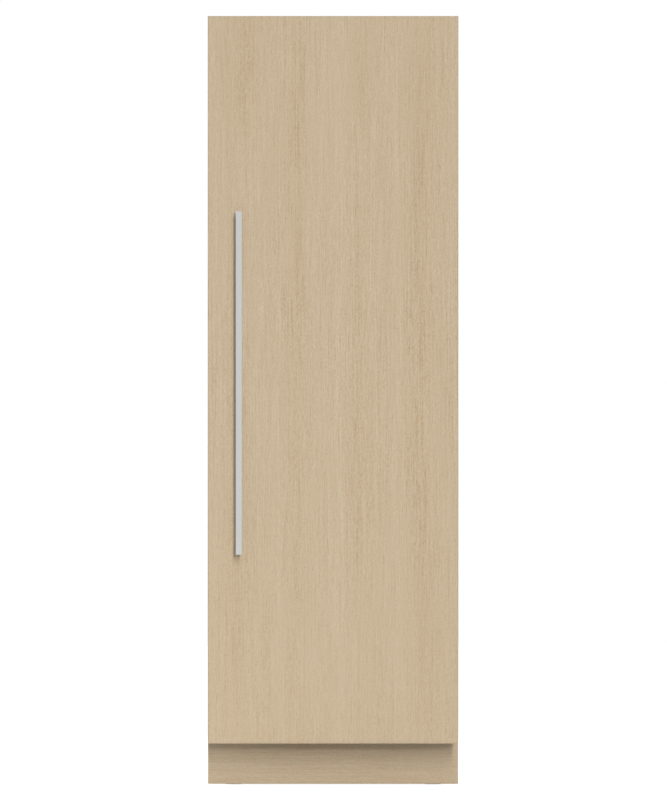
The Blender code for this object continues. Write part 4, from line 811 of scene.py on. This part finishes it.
def ring(name, centre, radius):
    """A fine raised ring that faces the front."""
    deselect_all()
    bpy.ops.mesh.primitive_cylinder_add(vertices=MARK_SIDES, radius=radius, depth=2 * MARK_PROUD,
                                        location=centre, rotation=(math.radians(90), 0, 0))
    bpy.ops.object.transform_apply(location=True, rotation=True, scale=True)
    made = bpy.context.object
    made.name = name
    pick_faces(made, lambda face: abs(face.normal.y) > FACES_ALONG)
    bpy.ops.mesh.inset(thickness=MARK_WIDTH)
    bpy.ops.mesh.bridge_edge_loops()
    leave_edit()
    return made


def merged(pieces, name):
    """Several pieces joined into one object."""
    deselect_all()
    for piece in pieces:
        piece.select_set(True)
    bpy.context.view_layer.objects.active = pieces[0]
    if len(pieces) > 1:
        bpy.ops.object.join()
    pieces[0].name = name
    return pieces[0]


def cover_slats():
    """Black inserts with slanted slats, close behind the two rows of slots in the rear cover."""
    face = COVER_LOW.y - SLAT_GAP
    for label, bottom, top in SLAT_SPANS:
        low = Vector((SLAT_LEFT, face - SLAT_DEPTH, COVER_LOW.z + bottom))
        high = Vector((SLAT_RIGHT, face, COVER_LOW.z + top))
        rim = box_between("slat_rim", low, high)
        pick_faces(rim, lambda side: abs(side.normal.y) > FACES_ALONG)
        bpy.ops.mesh.inset(thickness=SLAT_RIM)
        bpy.ops.mesh.bridge_edge_loops()
        leave_edit()
        start = low + Vector((SLAT_RIM / 2, TINY, SLAT_DROP))
        end = (high.x - SLAT_RIM / 2, face - TINY, start.z + SLAT_THICKNESS)
        slat = box_between("slat", start, end)
        pick_faces(slat, lambda side: side.normal.y > FACES_ALONG)
        bpy.ops.transform.translate(value=(0, 0, -SLAT_DROP))
        leave_edit()
        count = int((high.z - start.z) / SLAT_PITCH) + 1
        apply_modifier(slat, "ARRAY", count=count, use_relative_offset=False, use_constant_offset=True,
                       constant_offset_displace=(0, 0, SLAT_PITCH))
        insert = merged([rim, slat], f"cover_slats_{label}")
        ease(insert, SLAT_THICKNESS / 4, 1)
        settle(insert, "cabinet", "black_plastic")


def inlet_pins():
    """Three flat pins in the socket of the mains inlet."""
    centre = (INLET_LOW + INLET_HIGH) / 2
    pins = []
    for across, up in PIN_SHARES:
        x = centre.x + across * (INLET_HIGH.x - INLET_LOW.x)
        z = centre.z + up * (INLET_HIGH.z - INLET_LOW.z)
        half = Vector((PIN_THICKNESS / 2, 0, PIN_WIDTH / 2))
        end = Vector((x, INLET_HIGH.y - PIN_DROP, z))
        pin = box_between("mains_inlet_pin", end - Vector((0, PIN_LENGTH, 0)) - half, end + half)
        ease(pin, PIN_EDGE, 2)
        pins.append(pin)
    settle(merged(pins, "mains_inlet_pins"), "cabinet", "trim_metal")


# Screws

def pan_head():
    """Pan head with a cross recess, standing on the origin and facing up."""
    deselect_all()
    bpy.ops.mesh.primitive_cylinder_add(vertices=SCREW_SIDES, radius=SCREW_RADIUS, depth=SCREW_HEIGHT,
                                        location=(0, 0, SCREW_HEIGHT / 2 - SCREW_SINK))
    bpy.ops.object.transform_apply(location=True, rotation=True, scale=True)
    head = bpy.context.object
    head.name = "pan_head_screw"
    pick_edges(head, lambda a, b: min(a.z, b.z) > SCREW_HEIGHT / 2)
    bpy.ops.mesh.bevel(offset=SCREW_HEIGHT * SCREW_DOME, segments=3, affect="EDGES")
    leave_edit()
    top = SCREW_HEIGHT - SCREW_SINK
    for turned in (False, True):
        half = Vector((RECESS_LENGTH, RECESS_WIDTH, 0)) / 2
        if turned:
            half = Vector((half.y, half.x, 0))
        low = Vector((0, 0, top - RECESS_DEPTH)) - half
        cutter = box_between("recess", low, Vector((0, 0, top + RECESS_DEPTH)) + half)
        apply_modifier(head, "BOOLEAN", object=cutter, operation="DIFFERENCE", solver="EXACT")
        bpy.data.objects.remove(cutter)
    return head


def screw_row(head, name, body, facing, places):
    """One piece that holds a screw at each place, all facing the same way."""
    turn = Vector(facing).to_track_quat("Z", "Y").to_matrix().to_4x4()
    screws = []
    for i, place in enumerate(places):
        screw = bpy.data.objects.new(name, head.data.copy())
        bpy.context.scene.collection.objects.link(screw)
        spin = Matrix.Rotation(SCREW_TURN * i, 4, "Z")
        screw.data.transform(Matrix.Translation(place) @ turn @ spin)
        screws.append(screw)
    settle(merged(screws, name), body, "zinc_steel", "screw_zinc")


def rear_screws(head):
    edge = REAR_HIGH.x - SCREW_INSET
    low = REAR_LOW.z + SCREW_INSET
    high = REAR_HIGH.z - SCREW_INSET
    levels = [low + step / REAR_SCREW_STEPS * (high - low) for step in range(REAR_SCREW_STEPS + 1)]
    rear = [(side * edge, REAR_HIGH.y, level) for side in (-1, 1) for level in levels]
    rear += [(side * edge / 2, REAR_HIGH.y, high) for side in (-1, 1)]
    screw_row(head, "rear_sheet_screws", "cabinet", (0, 1, 0), rear)
    cover = [(side * edge, COVER_HIGH.y, COVER_LOW.z + SCREW_INSET) for side in (-1, 1)]
    cover += [(share * edge, COVER_HIGH.y, COVER_HIGH.z - SCREW_INSET) for share in COVER_TOP_SCREWS]
    screw_row(head, "machine_cover_screws", "cabinet", (0, 1, 0), cover)


def duct_screws(head):
    low = DUCT_LOW.z + SCREW_INSET
    high = DUCT_HIGH.z - SCREW_INSET
    levels = (low, (DUCT_LOW.z + DUCT_HIGH.z) / 2, high)
    sides = (DUCT_LOW.x + SCREW_INSET, DUCT_HIGH.x - SCREW_INSET)
    places = [(side, DUCT_LOW.y, level) for side in sides for level in levels]
    screw_row(head, "air_duct_screws", "cabinet", (0, -1, 0), places)


def hinge_screws(head):
    for label, way in (("top", 1), ("bottom", -1)):
        low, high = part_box(f"{label}_hinge_plate")
        face = high.z if way > 0 else low.z
        places = [(CASING_HIGH.x - side, CASING_LOW.y + back, face) for side, back in HINGE_SCREWS]
        screw_row(head, f"{label}_hinge_screws", "cabinet", (0, 0, way), places)


def bracket_screws(head):
    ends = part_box("door_skin")
    for node, way in (("panel_top_hanger", 1), ("panel_bottom_bracket", -1)):
        low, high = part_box(node)
        face = ends[1].z + BRACKET_FACE if way > 0 else ends[0].z - BRACKET_FACE
        places = [(share * high.x, high.y - SCREW_INSET, face) for share in BRACKET_SCREWS]
        screw_row(head, f"{node}_screws", "door", (0, 0, way), places)
    places = [(share * TIP_HIGH.x, TIP_LOW.y + 2 * SCREW_INSET, TIP_LOW.z + TIP_SHEET)
              for share in WALL_SCREWS]
    screw_row(head, "wall_bracket_screws", "cabinet", (0, 0, 1), places)


def all_screws():
    head = pan_head()
    rear_screws(head)
    duct_screws(head)
    hinge_screws(head)
    bracket_screws(head)
    bpy.data.objects.remove(head)


# Formed pieces: node, finished name, edge radius and its steps

FORMED = (
    ("casing_shell", "casing_folded_sheet", 0.0004, 1),
    ("bottom_pan", "machine_space_pan", 0.0004, 1),
    ("base_frame", "base_pressed_tray", 0.0005, 1),
    ("base_grille", "base_air_grille", 0.0006, 2),
    ("compressor", "compressor_shell", 0.0010, 2),
    ("drip_tray", "drip_tray_moulding", 0.0007, 2),
    ("condenser", "condenser_fin_block", 0.0002, 1),
    ("fan_shroud", "fan_frame_moulding", 0.0007, 2),
    ("machine_cover", "machine_space_cover", 0.0004, 1),
    ("power_inlet", "mains_inlet_moulding", 0.0007, 2),
    ("air_duct_panel", "air_duct_sheet", 0.0006, 2),
    ("evaporator", "evaporator_fin_block", 0.0002, 1),
    ("control_housing", "ceiling_console_housing", 0.0008, 2),
    ("light_diffuser", "light_milky_cover", 0.0006, 2),
    ("top_hinge_plate", "hinge_plate_upper", 0.0006, 2),
    ("bottom_hinge_plate", "hinge_plate_lower", 0.0006, 2),
    ("anti_tip_bracket", "wall_bracket_angle", 0.0006, 2),
    ("door_skin", "door_steel_skin", 0.0004, 1),
    ("door_liner", "door_liner_moulding", 0.0009, 2),
    ("hinge_bush_top", "hinge_bush_upper", 0.0005, 2),
    ("hinge_bush_bottom", "hinge_bush_lower", 0.0005, 2),
    ("panel_top_hanger", "panel_hanger_angle", 0.0005, 2),
    ("panel_bottom_bracket", "panel_lower_angle", 0.0005, 2),
    ("lower_crisper_tub", "lower_crisper_clear_tub", 0.0008, 2),
    ("lower_crisper_front", "lower_crisper_white_front", 0.0012, 3),
    ("upper_crisper_tub", "upper_crisper_clear_tub", 0.0008, 2),
    ("upper_crisper_front", "upper_crisper_white_front", 0.0012, 3),
    ("evaporator_fan", "evaporator_fan_rotor", 0.0003, 1),
    ("condenser_fan", "condenser_fan_rotor", 0.0003, 1),
    ("button_colder", "button_colder_cap", 0.0004, 2),
    ("button_warmer", "button_warmer_cap", 0.0004, 2),
    ("button_power", "button_power_cap", 0.0004, 2),
    ("levelling_foot_left", "levelling_foot_left_turned", 0.0005, 2),
    ("levelling_foot_right", "levelling_foot_right_turned", 0.0005, 2),
    ("rear_roller_left", "rear_roller_left_wheel", 0.0006, 2),
    ("rear_roller_right", "rear_roller_right_wheel", 0.0006, 2),
)


def formed_pieces():
    """Pressed, moulded and cast pieces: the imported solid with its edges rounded."""
    pieces = list(FORMED)
    pieces += [(f"door_bin_{i}", f"door_bin_{i}_clear_tray", 0.0008, 2) for i in BINS]
    for label in SHELVES:
        pieces.append((f"{label}_frame", f"{label}_moulded_frame", 0.0007, 2))
        pieces.append((f"{label}_glass", f"{label}_ground_glass", 0.0008, 2))
    for node, name, width, segments in pieces:
        made = merged_copy(node, name)
        ease(made, width, segments)
        settle(made, BODY_OF[node], SLOT_OF[node], stands_for=(node,))


def carried_over():
    """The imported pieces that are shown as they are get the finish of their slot."""
    for node, piece in frame["nodes"].items():
        if not piece.hide_render:
            piece.data.materials.clear()
            piece.data.materials.append(FINISHES[SLOT_OF[node]])


# Studio

def world_light():
    """Even light from all round, and a white background for the camera, for metal and for glass."""
    world = bpy.data.worlds.new("studio")
    bpy.context.scene.world = world
    world.use_nodes = True
    nodes = world.node_tree.nodes
    links = world.node_tree.links
    background = nodes["Background"]
    background.inputs["Color"].default_value = (1, 1, 1, 1)
    strength = nodes.new("ShaderNodeMapRange")
    strength.inputs["To Min"].default_value = WORLD_LIGHT
    strength.inputs["To Max"].default_value = 1.0
    links.new(seen_directly(nodes, links), strength.inputs["Value"])
    links.new(strength.outputs["Result"], background.inputs["Strength"])


def seen_directly(nodes, links):
    """One for rays from the camera, from metal and through glass, and zero for all others."""
    path = nodes.new("ShaderNodeLightPath")
    seen = path.outputs["Is Camera Ray"]
    for kind in ("Is Glossy Ray", "Is Transmission Ray"):
        either = nodes.new("ShaderNodeMath")
        either.operation = "MAXIMUM"
        links.new(seen, either.inputs[0])
        links.new(path.outputs[kind], either.inputs[1])
        seen = either.outputs[0]
    return seen


def floor():
    """Pale floor that keeps a soft shadow and looks white to the camera."""
    deselect_all()
    bpy.ops.mesh.primitive_plane_add(size=FLOOR_REACH, location=(0, 0, 0))
    plane = bpy.context.object
    plane.name = "studio_floor"
    material = bpy.data.materials.new("pale_floor")
    material.use_nodes = True
    nodes = material.node_tree.nodes
    links = material.node_tree.links
    nodes.remove(nodes["Principled BSDF"])
    dull = nodes.new("ShaderNodeBsdfDiffuse")
    dull.inputs["Color"].default_value = FLOOR_TONE
    pale = nodes.new("ShaderNodeBsdfDiffuse")
    pale.inputs["Color"].default_value = FLOOR_WHITE
    glow = nodes.new("ShaderNodeEmission")
    glow.inputs["Strength"].default_value = FLOOR_GLOW
    both = nodes.new("ShaderNodeAddShader")
    links.new(pale.outputs[0], both.inputs[0])
    links.new(glow.outputs[0], both.inputs[1])
    mix = nodes.new("ShaderNodeMixShader")
    links.new(seen_directly(nodes, links), mix.inputs["Fac"])
    links.new(dull.outputs[0], mix.inputs[1])
    links.new(both.outputs[0], mix.inputs[2])
    links.new(mix.outputs[0], nodes["Material Output"].inputs["Surface"])
    plane.data.materials.append(material)


def lamps():
    """An upright row of lamps far in front, a little to the right, and fills behind on both sides."""
    for above, strength in FRONT_LAMPS:
        lamp = bpy.data.objects.new("front_lamp", bpy.data.lights.new("front_lamp", "SUN"))
        bpy.context.scene.collection.objects.link(lamp)
        lamp.data.energy = strength
        lamp.data.angle = LAMP_SPREAD
        lamp.rotation_euler = (math.radians(90 - above), 0, LAMP_RIGHT)
        lamp.visible_glossy = False
    target = Vector((0, 0, PANEL_HIGH.z / 2))
    for label, place, power, shown in FILL_LAMPS:
        name = f"fill_lamp_{label}"
        fill = bpy.data.objects.new(name, bpy.data.lights.new(name, "AREA"))
        bpy.context.scene.collection.objects.link(fill)
        fill.data.energy = power
        fill.data.shape = "SQUARE"
        fill.data.size = FILL_SIZE
        fill.visible_glossy = shown
        fill.location = place
        fill.rotation_euler = (Vector(place) - target).to_track_quat("Z", "Y").to_euler()


def camera():
    """Level camera far in front, framed as the photograph is."""
    setback = (KICK_LOW.y - PANEL_LOW.y) * SENSOR / LENS * (PHOTO_BOTTOM / PHOTO_HEIGHT - 0.5)
    scale = (PANEL_HIGH.z - KICK_LOW.z - setback) / (PHOTO_BOTTOM - PHOTO_TOP)
    distance = scale * PHOTO_HEIGHT / SENSOR * LENS
    made = bpy.data.objects.new("camera", bpy.data.cameras.new("camera"))
    bpy.context.scene.collection.objects.link(made)
    made.data.lens = LENS
    made.data.sensor_width = SENSOR
    made.data.clip_end = CLIP_END
    off_centre = (PHOTO_WIDTH / 2 - PHOTO_CENTRE_X) * scale
    height = PANEL_HIGH.z - (PHOTO_HEIGHT / 2 - PHOTO_TOP) * scale
    made.location = (off_centre, PANEL_LOW.y - distance, height)
    made.rotation_euler = (math.radians(90), 0, 0)
    bpy.context.scene.camera = made


door_panel()
handle()
kick_board()
inner_liner()
rear_sheet()
door_seal()
bin_trims()
crisper_trims()
shelf_trims()
light_ribs()
button_marks()
cover_slats()
inlet_pins()
all_screws()
formed_pieces()
carried_over()
world_light()
floor()
lamps()
camera()
bpy.context.scene.view_settings.view_transform = "Standard"
